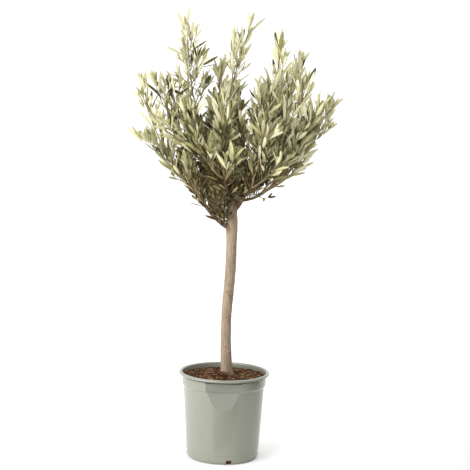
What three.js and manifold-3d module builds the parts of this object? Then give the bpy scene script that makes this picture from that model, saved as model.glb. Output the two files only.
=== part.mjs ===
// A young olive tree, trained to a clear stem and growing in a round nursery pot.
// Millimetres, +Z up. The origin is the middle of the pot's flat underside, and the
// pot's flattened front faces -Y.

import * as THREE from "three";
import { mergeVertices } from "three/addons/utils/BufferGeometryUtils.js";
import Module from "manifold-3d";

const wasm = await Module();
wasm.setup();

const CLEARANCE = 0.3; // gap between pieces that touch
const WELD = 1e-3; // points nearer than this are one
const UP = new THREE.Vector3(0, 0, 1);

// Pot: radii are to the outside, and heights are above the ground.
const POT_HEIGHT = 200;
const POT_WALL = 1.8;
const POT_SIDES = 32;
const ARC_STEPS = 3; // straight steps to each round stretch of the pot's outline
const LIP_RADIUS = 105;
const LIP_ROLL = 3.2; // radius of the rolled lip
const LIP_CURL = Math.PI * 0.8; // how far the roll turns under, from its outermost point
const BAND_TOP_RADIUS = 98.6; // the plain band under the lip
const BAND_FOOT_RADIUS = 97;
const BAND_FOOT = 171.5;
const BODY_TOP_RADIUS = 93.8; // the body is set back under the band
const BODY_TOP = 167;
const FOOT_LINE = 20; // a fine step all round, low on the body
const FOOT_STEP = 0.6;
const FOOT_RADIUS = 83.2;
const FOOT_ROUND = 10; // the wall turns into the underside over this height
const UNDERSIDE_RADIUS = 73; // the flat that the pot stands on

// Front panel: a flat on the body and on the band, given by its distance from the axis.
const PANEL_FOOT = 127;
const PANEL_FOOT_DISTANCE = 91.5;
const PANEL_EDGE = 130.5; // the short slope that leads in from its foot ends here
const PANEL_EDGE_DISTANCE = 89.9;
const PANEL_TOP_DISTANCE = 86.5;
const PANEL_BAND_DISTANCE = 88.4;

// Drain slots through the foot of the wall.
const SLOT_COUNT = 4;
const SLOT_WIDTH = 12.5;
const SLOT_HEIGHT = 10.5;
const SLOT_INNER_END = 70;
const FIRST_SLOT_BEARING = 281;

// Soil: mounded a little round the trunk.
const SOIL_EDGE = 189;
const SOIL_TOP = 190;

// Trunk: stations up its length, as height above the soil, sideways lean along X and Y, and radius.
const TRUNK_STATIONS = [
  { height: 0, x: 5, y: 1, radius: 16.5 },
  { height: 10, x: 4.5, y: 1, radius: 14.4 },
  { height: 30, x: 3.4, y: 0.5, radius: 13.6 },
  { height: 70, x: 1.7, y: 0, radius: 12.3 },
  { height: 150, x: 1.8, y: -1, radius: 12 },
  { height: 225, x: 7.1, y: -1, radius: 12.3 },
  { height: 305, x: 8.7, y: 0, radius: 12.7 },
  { height: 360, x: 8, y: 0, radius: 13.4 },
  { height: 395, x: 8.5, y: 0, radius: 10.4 },
  { height: 420, x: 8, y: 0, radius: 7.6 },
];
const TRUNK_SIDES = 12;
const TRUNK_STEPS = 15;
const FLARE_LOBES = 3; // root swellings round the foot
const FLARE_DEPTH = 0.1;
const FLARE_HEIGHT = 35;

// Boughs, under the limb that each grows from: "at" is the height above the soil on the trunk, or the
// share of the way along the parent bough. Bearing runs from +X towards +Y and lift is above level, in
// degrees, for the straight line to the tip. Rise is how far the limb turns upwards on the way.
const BOUGHS = {
  trunk: {
    left_low: { at: 338, bearing: 185, lift: 43, length: 91, rise: 28, root: 5.6, tip: 4.2 },
    leader: { at: 420, bearing: 167, lift: 72, length: 72, rise: 26, root: 6.6, tip: 4.4 },
    right: { at: 383, bearing: 343, lift: 71, length: 88, rise: 54, root: 8.2, tip: 5 },
    left: { at: 392, bearing: 174, lift: 57, length: 101, rise: 34, root: 6.2, tip: 4.2 },
    front: { at: 402, bearing: 250, lift: 45, length: 84, rise: 30, root: 5.6, tip: 4 },
    back: { at: 404, bearing: 96, lift: 46, length: 86, rise: 30, root: 5.6, tip: 4 },
  },
  right: {
    right_front: { at: 0.4, bearing: 300, lift: 34, length: 52, rise: 24, root: 4.6, tip: 3.6 },
    right_back: { at: 0.5, bearing: 58, lift: 36, length: 58, rise: 24, root: 4.6, tip: 3.6 },
    right_low: { at: 0.34, bearing: 350, lift: 17, length: 46, rise: 26, root: 4, tip: 3.2 },
  },
};
const BOUGH_SIDES = 6;
const BOUGH_STEPS = 3;

// Masses of foliage, under the bough that each grows on from: every one is a long shoot. Length is
// the reach from the bough to the furthest leaf tip, girth is the length of the longest side twigs,
// and leafSize is for the shoots with smaller leaves.
const MASSES = {
  left_low: {
    outer: { at: 1, bearing: 185, lift: 44, length: 246, rise: -14, girth: 40 },
    upper: { at: 0.97, bearing: 166, lift: 60, length: 358, rise: 36, girth: 46 },
    front: { at: 0.9, bearing: 230, lift: 53, length: 165, rise: 18, girth: 40 },
    back: { at: 0.86, bearing: 124, lift: 51, length: 171, rise: 16, girth: 40 },
    inner: { at: 0.65, bearing: 124, lift: 76, length: 116, rise: 10, girth: 56, leafSize: 0.7 },
    sprout: { at: 0.35, bearing: 248, lift: 68, length: 100, rise: 16, girth: 50, leafSize: 0.6 },
  },
  left: {
    tall: { at: 1, bearing: 188, lift: 79.5, length: 378, rise: 14, girth: 48 },
    outer: { at: 0.96, bearing: 203, lift: 54, length: 275, rise: 28, girth: 66 },
    front: { at: 0.9, bearing: 238, lift: 53, length: 227, rise: 26, girth: 50 },
    back: { at: 0.86, bearing: 120, lift: 47, length: 220, rise: 28, girth: 50 },
  },
  leader: {
    tall: { at: 1, bearing: 10, lift: 80.5, length: 360, rise: -24, girth: 38 },
    front: { at: 0.94, bearing: 293, lift: 82.5, length: 333, rise: 12, girth: 16 },
    back: { at: 0.9, bearing: 115, lift: 80, length: 268, rise: 14, girth: 48 },
  },
  right: {
    tall: { at: 1, bearing: 358, lift: 77, length: 350, rise: 28, girth: 56 },
    outer: { at: 0.95, bearing: 347, lift: 57, length: 300, rise: 26, girth: 66 },
    inner: { at: 0.9, bearing: 261, lift: 58, length: 195, rise: 24, girth: 46 },
  },
  right_low: {
    outer: { at: 1, bearing: 11, lift: 50, length: 302, rise: 20, girth: 66 },
    front: { at: 0.94, bearing: 345, lift: 56, length: 285, rise: 20, girth: 70 },
    back: { at: 0.88, bearing: 24, lift: 34, length: 190, rise: 22, girth: 44 },
  },
  front: {
    tall: { at: 1, bearing: 264, lift: 71, length: 221, rise: 20, girth: 50 },
    left: { at: 0.95, bearing: 233, lift: 41, length: 191, rise: 30, girth: 50 },
    low: { at: 0.9, bearing: 279, lift: 26, length: 160, rise: 30, girth: 44 },
  },
  back: {
    tall: { at: 1, bearing: 79, lift: 76, length: 234, rise: 14, girth: 42 },
    left: { at: 0.95, bearing: 118, lift: 51, length: 232, rise: 30, girth: 50 },
    low: { at: 0.9, bearing: 92, lift: 26, length: 166, rise: 30, girth: 44 },
  },
  right_front: {
    upper: { at: 1, bearing: 285, lift: 57, length: 215, rise: 24, girth: 50 },
    low: { at: 0.92, bearing: 318, lift: 36, length: 160, rise: 28, girth: 46 },
  },
  right_back: {
    tall: { at: 1, bearing: 12, lift: 69, length: 324, rise: 14, girth: 70 },
    upper: { at: 0.94, bearing: 76, lift: 55, length: 250, rise: 26, girth: 44 },
    low: { at: 0.88, bearing: 46, lift: 30, length: 158, rise: 28, girth: 46 },
  },
};
const STEM_RADII = [3.2, 2]; // at its root and at its end
const STEM_SIDES = 4;
const STEM_STEP = 60; // length of one straight stretch

// The rule that every shoot branches by: nodes up the stem carry an opposite pair each, a quarter turn
// from the pair below, and each of the pair is a side twig or a single leaf.
const SEED = 4711;
const FOR = { length: 2, kind: 3, face: 5, twist: 31, size: 32, leaf: 50 }; // keys of the chances taken
const FIRST_NODE = 0.14; // share of the stem
const NODE_SPACING = 28;
const TWIG_CHANCE = 0.45;
const TWIG_RADII = [1.2, 0.9];
const TWIG_SIDES = 3;
const TWIG_LENGTHS = [0.7, 1.1]; // against the girth
const TWIG_SPLAY = [52, 26]; // degrees from the stem, low down and at its end
const TWIG_NODE_SPACING = 15;
const SHORTEST_TWIG = 14;
const TWIG_FITS = [1, 0.7, 0.45]; // lengths tried in turn, until one keeps to the shoot's space
const LEAF = { length: 64, width: 17, thickness: 1.5, widestAt: 0.58, splay: 44, twist: 70, sunk: 0.3 };
const LEAF_SIZES = [0.85, 1.05]; // against the full size
const LEAF_FITS = [
  { fold: 1, shrink: 1 },
  { fold: 0.7, shrink: 1 },
  { fold: 0.7, shrink: 0.75 },
  { fold: 1, shrink: 0.6 },
];
const LAST_NODE = 0.94; // share of a twig or stem
const TIP_FOLD = 0.5; // how much less the leaves at a tip splay
const TIP_REACH = 0.88; // of a leaf's length, forwards of the last node
const LIGHT_PULL = 0.3; // how far leaves and twigs turn up, against a length of one
const STEM_MARGIN = 1.5; // how far off its stem a leaf's blade is
const SPACE_MARGIN = 1.2; // how much nearer a shoot's own stem is than any other shoot's

// Materials

const finish = (color, roughness) => new THREE.MeshStandardMaterial({ color, roughness, metalness: 0 });
const POT_PLASTIC = finish("#a0a395", 0.42);
const SOIL_EARTH = finish("#5c422d", 0.95);
const BARK = finish("#ad977a", 0.85);
const YOUNG_BARK = finish("#8f7f5c", 0.8);
const OLIVE_LEAF = finish("#a2a678", 0.55);

// Solids

function solid(geometry) {
  const bare = new THREE.BufferGeometry();
  bare.setAttribute("position", geometry.getAttribute("position"));
  bare.setIndex(geometry.getIndex());
  const merged = mergeVertices(bare, WELD);
  const shape = {
    numProp: 3,
    vertProperties: merged.getAttribute("position").array,
    triVerts: new Uint32Array(merged.getIndex().array),
  };
  return new wasm.Manifold(new wasm.Mesh(shape));
}

// The largest of the bodies that a cut leaves.
function mainBody(body) {
  return body.decompose().reduce((a, b) => (b.volume() > a.volume() ? b : a));
}

function piece(name, body, material) {
  const { vertProperties, triVerts } = body.getMesh();
  const geometry = new THREE.BufferGeometry();
  geometry.setAttribute("position", new THREE.BufferAttribute(vertProperties, 3));
  geometry.setIndex(new THREE.BufferAttribute(triVerts, 1));
  geometry.computeVertexNormals();
  const mesh = new THREE.Mesh(geometry, material);
  mesh.name = name;
  return mesh;
}

function revolved(outline) {
  return solid(new THREE.LatheGeometry(outline.getPoints(ARC_STEPS), POT_SIDES).rotateX(Math.PI / 2));
}

// A tapering limb along a curve. Its rings all start from the same sideways direction, so the turn
// round it that a twig or leaf is given at says which face of the limb that grows from.
class Limb {
  constructor(curve, side, radiusAt, sides, steps) {
    Object.assign(this, { curve, side, radiusAt, sides, steps });
  }

  frameAt(share) {
    const axis = this.curve.getTangentAt(share);
    const across = this.side.clone().addScaledVector(axis, -axis.dot(this.side)).normalize();
    return { place: this.curve.getPointAt(share), axis, across, away: axis.clone().cross(across) };
  }

  // The turned solid, or where it is made a little larger the room that its neighbours keep out of.
  body(larger = 0) {
    const outline = [new THREE.Vector2(0, 0)];
    for (let ring = 0; ring <= this.steps; ring++) outline.push(new THREE.Vector2(1, ring));
    outline.push(new THREE.Vector2(0, this.steps));
    const geometry = new THREE.LatheGeometry(outline, this.sides);
    const position = geometry.getAttribute("position");
    const frames = outline.slice(1, -1).map(({ y }) => this.frameAt(y / this.steps));
    for (let v = 0; v < position.count; v++) {
      const ring = position.getY(v);
      const { place, axis, across, away } = frames[ring];
      const turn = Math.atan2(position.getX(v), position.getZ(v));
      const radius = this.radiusAt(ring / this.steps, turn) + larger;
      const end = ring === 0 ? -1 : Number(ring === this.steps);
      const point = place.clone().addScaledVector(axis, end * larger);
      point.addScaledVector(across, position.getZ(v) * radius);
      point.addScaledVector(away, position.getX(v) * radius);
      position.setXYZ(v, point.x, point.y, point.z);
    }
    return solid(geometry);
  }
}

// Pot and soil

// The flat on the front, as the block that is cut away outside it, moved inwards by this much.
function panelBlock(inwards) {
  const flat = new THREE.Shape();
  flat.moveTo(PANEL_FOOT_DISTANCE - inwards, PANEL_FOOT);
  flat.lineTo(PANEL_EDGE_DISTANCE - inwards, PANEL_EDGE);
  flat.lineTo(PANEL_TOP_DISTANCE - inwards, BODY_TOP - inwards);
  flat.lineTo(PANEL_BAND_DISTANCE - inwards, BAND_FOOT - inwards);
  flat.lineTo(PANEL_BAND_DISTANCE - inwards, POT_HEIGHT - 2 * LIP_ROLL + inwards);
  flat.lineTo(LIP_RADIUS + LIP_ROLL, POT_HEIGHT - 2 * LIP_ROLL + inwards);
  flat.lineTo(LIP_RADIUS + LIP_ROLL, PANEL_FOOT);
  const block = new THREE.ExtrudeGeometry(flat, { depth: 2 * LIP_RADIUS, bevelEnabled: false });
  block.translate(0, 0, -LIP_RADIUS);
  block.rotateX(Math.PI / 2);
  block.rotateZ(-Math.PI / 2);
  return solid(block);
}

// The outline of the wall, moved inwards by this much, from the middle of the floor up to the band.
function wallOutline(inwards) {
  const outline = new THREE.Path();
  outline.moveTo(0, inwards);
  outline.lineTo(UNDERSIDE_RADIUS, inwards);
  outline.quadraticCurveTo(FOOT_RADIUS - inwards, inwards, FOOT_RADIUS - inwards, FOOT_ROUND);
  if (inwards === 0) {
    outline.lineTo(FOOT_RADIUS + FOOT_STEP, FOOT_LINE);
    outline.lineTo(FOOT_RADIUS + 2 * FOOT_STEP, FOOT_LINE + FOOT_STEP);
  }
  outline.lineTo(BODY_TOP_RADIUS - inwards, BODY_TOP - inwards);
  outline.lineTo(BAND_FOOT_RADIUS - inwards, BAND_FOOT - inwards);
  return outline;
}

function makePot() {
  const rollHeight = POT_HEIGHT - LIP_ROLL;
  const innerRadius = BAND_TOP_RADIUS - POT_WALL;
  const outside = wallOutline(0);
  outside.lineTo(BAND_TOP_RADIUS, rollHeight - LIP_ROLL / 2);
  outside.absarc(LIP_RADIUS - LIP_ROLL, rollHeight, LIP_ROLL, -LIP_CURL, Math.PI / 2);
  outside.absarc(innerRadius + LIP_ROLL, rollHeight, LIP_ROLL, Math.PI / 2, Math.PI);
  outside.lineTo(0, rollHeight);
  const inside = wallOutline(POT_WALL);
  inside.lineTo(innerRadius, rollHeight);
  inside.lineTo(innerRadius, POT_HEIGHT + LIP_ROLL);
  inside.lineTo(0, POT_HEIGHT + LIP_ROLL);
  const shell = revolved(outside).subtract(panelBlock(0));
  const hollow = revolved(inside).subtract(panelBlock(POT_WALL));

  const slots = [];
  for (let slot = 0; slot < SLOT_COUNT; slot++) {
    const block = new THREE.BoxGeometry(LIP_RADIUS - SLOT_INNER_END, SLOT_WIDTH, 2 * SLOT_HEIGHT);
    block.translate((LIP_RADIUS + SLOT_INNER_END) / 2, 0, 0);
    block.rotateZ(THREE.MathUtils.degToRad(FIRST_SLOT_BEARING + (slot * 360) / SLOT_COUNT));
    slots.push(solid(block));
  }
  return shell.subtract(hollow).subtract(wasm.Manifold.union(slots));
}

function makeSoil() {
  const gap = POT_WALL + CLEARANCE;
  const bandSlope = (BAND_TOP_RADIUS - BAND_FOOT_RADIUS) / (POT_HEIGHT - LIP_ROLL - BAND_FOOT);
  const edge = BAND_FOOT_RADIUS + (SOIL_EDGE - BAND_FOOT) * bandSlope - gap;
  const outline = wallOutline(gap);
  outline.lineTo(edge, SOIL_EDGE);
  outline.quadraticCurveTo(edge / 2, SOIL_TOP, 0, SOIL_TOP);
  return mainBody(revolved(outline).subtract(panelBlock(gap)));
}

// Trunk and boughs

// The direction with this bearing (from +X towards +Y) and this lift above level, both in degrees.
function heading(bearing, lift) {
  const around = THREE.MathUtils.degToRad(bearing);
  const up = THREE.MathUtils.degToRad(lift);
  return new THREE.Vector3(Math.cos(around) * Math.cos(up), Math.sin(around) * Math.cos(up), Math.sin(up));
}

// A tapering limb that reaches this far in a straight line, but sets off flatter and ends steeper.
function bentLimb(start, { bearing, lift, rise }, length, radii, sides, steps) {
  const leg = length / 2 / Math.cos(THREE.MathUtils.degToRad(rise / 2));
  const knee = start.clone().addScaledVector(heading(bearing, lift - rise / 2), leg);
  const end = knee.clone().addScaledVector(heading(bearing, lift + rise / 2), leg);
  const curve = new THREE.QuadraticBezierCurve3(start, knee, end);
  const radiusAt = (share) => THREE.MathUtils.lerp(...radii, share);
  return new Limb(curve, heading(bearing - 90, 0), radiusAt, sides, steps);
}

const trunkFoot = SOIL_TOP + CLEARANCE;
const trunkHeight = TRUNK_STATIONS.at(-1).height;

function trunkRadius(share, turn = 0) {
  const height = share * trunkHeight;
  const above = Math.max(1, TRUNK_STATIONS.findIndex((station) => station.height >= height));
  const low = TRUNK_STATIONS[above - 1];
  const high = TRUNK_STATIONS[above];
  const radius = THREE.MathUtils.mapLinear(height, low.height, high.height, low.radius, high.radius);
  const swelling = FLARE_DEPTH * Math.exp(-height / FLARE_HEIGHT) * Math.cos(FLARE_LOBES * turn);
  return radius * (1 + swelling);
}

const trunkPoints = TRUNK_STATIONS.map(({ height, x, y }) => new THREE.Vector3(x, y, trunkFoot + height));
const trunkCurve = new THREE.CatmullRomCurve3(trunkPoints);
const trunk = new Limb(trunkCurve, new THREE.Vector3(1, 0, 0), trunkRadius, TRUNK_SIDES, TRUNK_STEPS);

// Every limb by its name, and the room that each takes up.
const limbs = new Map([["trunk", trunk]]);
const rooms = [trunk.body(CLEARANCE)];

// Where a limb starts, on the axis of the one that it grows from.
function rootOf(from, at) {
  const parent = limbs.get(from);
  return parent.curve.getPointAt(from === "trunk" ? at / trunkHeight : at);
}

function makeBough(from, name, { at, length, root, tip, ...bend }) {
  const made = bentLimb(rootOf(from, at), bend, length, [root, tip], BOUGH_SIDES, BOUGH_STEPS);
  const body = made.body().subtract(wasm.Manifold.union(rooms));
  limbs.set(name, made);
  rooms.push(made.body(CLEARANCE));
  return mainBody(body);
}

// Foliage

// The same number between 0 and 1 for the same keys, whatever grew before.
function chance(...keys) {
  let mixed = SEED;
  for (const key of keys) {
    mixed = Math.imul(mixed ^ (key + 0x9e3779b9), 0x85ebca6b);
    mixed ^= mixed >>> 13;
    mixed = Math.imul(mixed, 0xc2b2ae35);
    mixed ^= mixed >>> 16;
  }
  return (mixed >>> 0) / 2 ** 32;
}

function between(low, high, ...keys) {
  return low + (high - low) * chance(...keys);
}

// The direction that splays this much from a limb's axis, on the side of it that the turn gives.
function splayed({ axis, across, away }, turn, splay) {
  const outwards = across.clone().multiplyScalar(Math.cos(turn)).addScaledVector(away, Math.sin(turn));
  return outwards.multiplyScalar(Math.sin(splay)).addScaledVector(axis, Math.cos(splay));
}

// The same, turned up towards the light.
function risen(frame, turn, splay) {
  return splayed(frame, turn, splay).addScaledVector(UP, LIGHT_PULL).normalize();
}

// An eight-faced leaf one unit long, from a drawn-out base at the origin to its tip along X.
function leafBlade() {
  const blade = new THREE.OctahedronGeometry(1);
  const position = blade.getAttribute("position");
  for (let v = 0; v < position.count; v++) {
    const x = position.getX(v);
    position.setX(v, x < 0 ? 0 : x > 0 ? 1 : LEAF.widestAt);
  }
  return blade;
}

// Where a leaf goes: its base is sunk past the axis of the limb it grows from, and its upper side
// faces that axis before it is twisted.
function leafPlace(frame, turn, splay, size, limbRadius, twist) {
  const along = risen(frame, turn, splay);
  const across = along.clone().cross(frame.axis).normalize().applyAxisAngle(along, twist);
  const upper = along.clone().cross(across);
  const sunk = (LEAF.sunk * limbRadius) / along.clone().cross(frame.axis).length();
  const base = frame.place.clone().addScaledVector(along, -sunk);
  const matrix = new THREE.Matrix4().makeBasis(
    along.multiplyScalar(LEAF.length * size),
    across.multiplyScalar((LEAF.width / 2) * size),
    upper.multiplyScalar(LEAF.thickness / 2),
  );
  return matrix.setPosition(base);
}

function distanceTo(line, point) {
  const nearest = new THREE.Vector3();
  const stretch = new THREE.Line3();
  let least = Infinity;
  for (let i = 1; i < line.length; i++) {
    stretch.set(line[i - 1], line[i]).closestPointToPoint(point, true, nearest);
    least = Math.min(least, nearest.distanceTo(point));
  }
  return least;
}

// The points of a leaf's blade, and the shares of a twig, that must keep to the shoot's space.
const LEAF_CHECKS = [
  [0.36, 0],
  [LEAF.widestAt, 1],
  [LEAF.widestAt, -1],
  [0.8, 0],
  [1, 0],
].map(([x, y]) => new THREE.Vector3(x, y, 0));
const TWIG_CHECKS = [0.5, 1];

// The shoots' stems, each with the line that distances to it are measured from, and the room that the
// trunk and boughs take up.
const stems = [];
let limbRoom;

// Whether a point lies in a shoot's own space: off its stem, but nearer to it than to any other.
function isOwn(point, own) {
  const fromStem = distanceTo(stems[own].line, point);
  if (fromStem < STEM_RADII[0] + STEM_MARGIN) return false;
  const reach = fromStem + SPACE_MARGIN;
  return stems.every(({ line }, other) => other === own || distanceTo(line, point) > reach);
}

// A leaf, at the first of the fits that keeps it in the shoot's own space, or nothing.
function fittedLeaf(own, frame, turn, splay, limbRadius, keys) {
  const twist = THREE.MathUtils.degToRad(LEAF.twist) * between(-1, 1, ...keys, FOR.twist);
  const full = stems[own].leafSize * between(...LEAF_SIZES, ...keys, FOR.size);
  for (const { fold, shrink } of LEAF_FITS) {
    const place = leafPlace(frame, turn, splay * fold, full * shrink, limbRadius, twist);
    if (!LEAF_CHECKS.every((point) => isOwn(point.clone().applyMatrix4(place), own))) continue;
    const body = solid(leafBlade().applyMatrix4(place));
    if (body.intersect(limbRoom).isEmpty()) return [body];
  }
  return [];
}

// A three-sided side twig with its leaves, or nothing where neither fits.
function fittedTwig(own, frame, turn, splay, length, keys) {
  const leafSplay = THREE.MathUtils.degToRad(LEAF.splay);
  for (const shrink of TWIG_FITS) {
    const along = risen(frame, turn, splay);
    const end = frame.place.clone().addScaledVector(along, length * shrink);
    const path = new THREE.LineCurve3(frame.place, end);
    if (!TWIG_CHECKS.every((share) => isOwn(path.getPointAt(share), own))) continue;
    const radiusAt = (share) => THREE.MathUtils.lerp(...TWIG_RADII, share);
    const twig = new Limb(path, frame.across.clone().cross(along).normalize(), radiusAt, TWIG_SIDES, 1);
    const body = twig.body();
    if (!body.intersect(limbRoom).isEmpty()) continue;
    const spacing = TWIG_NODE_SPACING * stems[own].leafSize;
    const nodes = Math.max(1, Math.round((length * shrink) / spacing));
    const firstFace = Math.floor(TWIG_SIDES * chance(...keys, FOR.face));
    const leaves = [];
    for (let node = 1; node <= nodes; node++) {
      const place = twig.frameAt((LAST_NODE * node) / nodes);
      const leafTurn = faceTurn(TWIG_SIDES, firstFace + node);
      const fold = node < nodes ? 1 : TIP_FOLD;
      const leafKeys = [...keys, FOR.leaf + node];
      leaves.push(...fittedLeaf(own, place, leafTurn, leafSplay * fold, TWIG_RADII[1], leafKeys));
    }
    if (leaves.length) return [body, ...leaves];
  }
  return [];
}

// Sets up the stem of one shoot, a leaf's reach shorter than the shoot itself.
function plantStem(from, name, { at, length, girth, leafSize = 1, ...bend }) {
  const stemLength = (length - LEAF.length * leafSize * TIP_REACH) / LAST_NODE;
  const steps = Math.max(2, Math.round(stemLength / STEM_STEP));
  const limb = bentLimb(rootOf(from, at), bend, stemLength, STEM_RADII, STEM_SIDES, steps);
  const line = limb.curve.getSpacedPoints(steps * 2);
  stems.push({ name: `foliage_${from}_${name}`, limb, line, girth, leafSize });
}

// The turn to the middle of one of a limb's faces.
function faceTurn(sides, face) {
  return ((face + 0.5) * 2 * Math.PI) / sides;
}

function growMass(girth, own) {
  const stem = stems[own].limb;
  const parts = [mainBody(stem.body().subtract(wasm.Manifold.union(rooms)))];
  rooms.push(stem.body(CLEARANCE));
  const spacing = NODE_SPACING * stems[own].leafSize;
  const nodes = Math.floor((stem.curve.getLength() * (1 - FIRST_NODE)) / spacing);
  for (let node = 0; node < nodes; node++) {
    const share = FIRST_NODE + ((1 - FIRST_NODE) * node) / nodes;
    const frame = stem.frameAt(share);
    const splay = THREE.MathUtils.degToRad(THREE.MathUtils.lerp(...TWIG_SPLAY, share));
    for (let side = 0; side < 2; side++) {
      const keys = [own, node, side];
      const turn = faceTurn(STEM_SIDES, node + (side * STEM_SIDES) / 2);
      const length = girth * Math.sqrt(1 - share) * between(...TWIG_LENGTHS, ...keys, FOR.length);
      const isTwig = length > SHORTEST_TWIG && chance(...keys, FOR.kind) < TWIG_CHANCE;
      const grown = isTwig ? fittedTwig(own, frame, turn, splay, length, keys) : [];
      if (!grown.length) grown.push(...fittedLeaf(own, frame, turn, splay, stem.radiusAt(share), keys));
      parts.push(...grown);
    }
  }
  const tip = stem.frameAt(LAST_NODE);
  const tipSplay = THREE.MathUtils.degToRad(LEAF.splay * TIP_FOLD);
  for (let side = 0; side < 2; side++) {
    const turn = faceTurn(STEM_SIDES, nodes + (side * STEM_SIDES) / 2);
    parts.push(...fittedLeaf(own, tip, turn, tipSplay, STEM_RADII[1], [own, nodes, side]));
  }
  return mainBody(wasm.Manifold.union(parts));
}

// The whole plant

const plant = new THREE.Group();
plant.name = "potted_olive_tree";
plant.add(piece("pot", makePot(), POT_PLASTIC));
plant.add(piece("soil", makeSoil(), SOIL_EARTH));
plant.add(piece("trunk", trunk.body().trimByPlane([0, 0, 1], trunkFoot), BARK));
for (const [from, boughs] of Object.entries(BOUGHS)) {
  for (const [name, bough] of Object.entries(boughs)) {
    plant.add(piece(`bough_${name}`, makeBough(from, name, bough), YOUNG_BARK));
  }
}

limbRoom = wasm.Manifold.union(rooms);
for (const [from, shoots] of Object.entries(MASSES)) {
  for (const [name, shoot] of Object.entries(shoots)) plantStem(from, name, shoot);
}
stems.forEach(({ name, girth }, own) => plant.add(piece(name, growMass(girth, own), OLIVE_LEAF)));

export default plant;
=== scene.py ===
"""A young olive tree in a round nursery pot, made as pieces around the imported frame.

Metres, +Z up, the pot's flattened front towards -Y. The limbs and shoots follow the same sizes and the
same seeded rule as the frame's own, carried on to finer twigs and smaller leaves.
"""

import math
from bisect import bisect_left

import bpy
import numpy as np
from mathutils import Matrix, Quaternion, Vector, noise
from mathutils.bvhtree import BVHTree
from mathutils.kdtree import KDTree


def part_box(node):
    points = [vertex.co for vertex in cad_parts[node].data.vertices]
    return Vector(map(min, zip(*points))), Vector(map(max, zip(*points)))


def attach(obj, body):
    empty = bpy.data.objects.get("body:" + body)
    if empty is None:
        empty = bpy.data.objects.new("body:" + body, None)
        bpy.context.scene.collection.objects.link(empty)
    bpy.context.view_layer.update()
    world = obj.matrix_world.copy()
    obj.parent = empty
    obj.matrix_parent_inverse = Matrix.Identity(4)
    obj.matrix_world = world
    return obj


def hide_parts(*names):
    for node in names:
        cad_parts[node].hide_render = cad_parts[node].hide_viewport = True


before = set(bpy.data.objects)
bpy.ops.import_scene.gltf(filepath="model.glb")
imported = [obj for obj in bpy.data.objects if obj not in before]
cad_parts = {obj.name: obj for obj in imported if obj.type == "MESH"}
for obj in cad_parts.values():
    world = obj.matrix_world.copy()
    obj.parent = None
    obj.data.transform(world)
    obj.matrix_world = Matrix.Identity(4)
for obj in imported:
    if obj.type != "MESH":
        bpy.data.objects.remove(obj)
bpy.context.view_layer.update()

bl_info = {
    "name": "Potted olive tree",
    "version": (1, 0, 0),
    "blender": (4, 5, 0),
    "location": "View3D > Sidebar > Olive tree",
    "description": "Builds a young olive tree in a nursery pot, with its leaves, bark and soil",
    "category": "Add Mesh",
}

BODY = "root"
UP = Vector((0, 0, 1))
MM = 0.001
NEAR = 1e-6  # places closer together than this count as one
LEG_SHARE = 1 / 2.5  # how much of a stretch the round at its end may take up
# What the first point round a tube is turned to, and what instead on a tube that lies nearly along Y.
TUBE_SIDE = Vector((0.3, 0.9, 0.2))
TUBE_SIDE_ALONG_Y = Vector((1, 0, 0))
ALONG_Y = 0.9

# Pot, from the frame where it shows there. Radii are to the outside.
POT_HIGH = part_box("pot")[1]
POT_HEIGHT = POT_HIGH.z
LIP_RADIUS = POT_HIGH.x
LIP_ROLL = 0.0032
UNDER_LIP = POT_HEIGHT - 2 * LIP_ROLL
UNDERCUT = 0.0009  # how far the wall steps in under the roll
LIP_CURL = math.radians(165)  # how far the roll turns under, from its outermost point
LIP_STEPS = 16
INNER_LIP_STEPS = 8
LIP_SHADE_DEPTH = 0.0034  # how far below the roll the painted shade under the lip shows
LIP_SHADE_DEPTH_ON_FLAT = 0.0058  # the same on the flat front, which stands further back under the roll
LIP_SHADE_HEAD = 0.004  # how far up behind the roll the painted shade reaches
LIP_SHADE_TINT = (0.34, 0.29, 0.25)  # the painted shade's colour, as shares of the plastic's
BAND_TOP_RADIUS = 0.0986
BAND_FOOT_RADIUS = 0.097
BAND_FOOT = 0.1715
BODY_TOP_RADIUS = 0.0938
BODY_TOP = 0.167
FOOT_LINE = 0.020
FOOT_STEP = 0.0006
FOOT_RADIUS = 0.0832
FOOT_ROUND = 0.010
FOOT_STEPS = 8
UNDERSIDE_RADIUS = 0.073
EDGE_ROUND = 0.0009  # the small rounds at the band's foot and head
ROUND_STEPS = 3
POT_STRETCH = 0.006  # longest straight stretch of the pot's outline
BAND_STRETCH = LIP_SHADE_DEPTH / 3  # the same on the band
POT_CREASE = math.radians(16)  # edges sharper than this stay sharp
PANEL_FOOT = 0.127
# Heights and distances from the axis of the flat on the front.
PANEL = [
    (PANEL_FOOT, 0.0915),
    (PANEL_FOOT + 0.0035, 0.0899),
    (BODY_TOP, 0.0865),
    (BAND_FOOT, 0.0884),
    (UNDER_LIP - 0.0004, 0.0884),
]
PANEL_TOP = PANEL[-1][0]
PANEL_SLACK = 1e-5
ON_PANEL = 3e-4  # a face that lies this close to the flat is part of it
FACING_FRONT = -0.88  # highest part along Y of the normal of a face that looks to the front
PLASTIC, PANEL_SHADED_PLASTIC, LIP_PAINTED_SHADE = range(3)  # the pot's finishes, by their places among its materials: the plastic, a darker copy as painted shade on the flat front, and painted shade under the lip
SLOT_COUNT = 4
SLOT_WIDTH = 0.0125
SLOT_HEIGHT = 0.0105
SLOT_INNER_END = 0.070
SLOT_ROUND = 0.0012
SLOT_ROUND_STEPS = 3
FIRST_SLOT_BEARING = 281

# Soil
SOIL_GAP = 0.0003
SOIL_EDGE = 0.189
SOIL_TOP = 0.192
SOIL_STRETCH = 0.012
SOIL_RINGS = 52
SOIL_SEGMENTS = 150
SOIL_CREASE = math.radians(50)
# Where the soil is heaped against the trunk: middle, radius and height.
HEAP = (Vector((-0.009, -0.015)), 0.014, 0.010)
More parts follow.
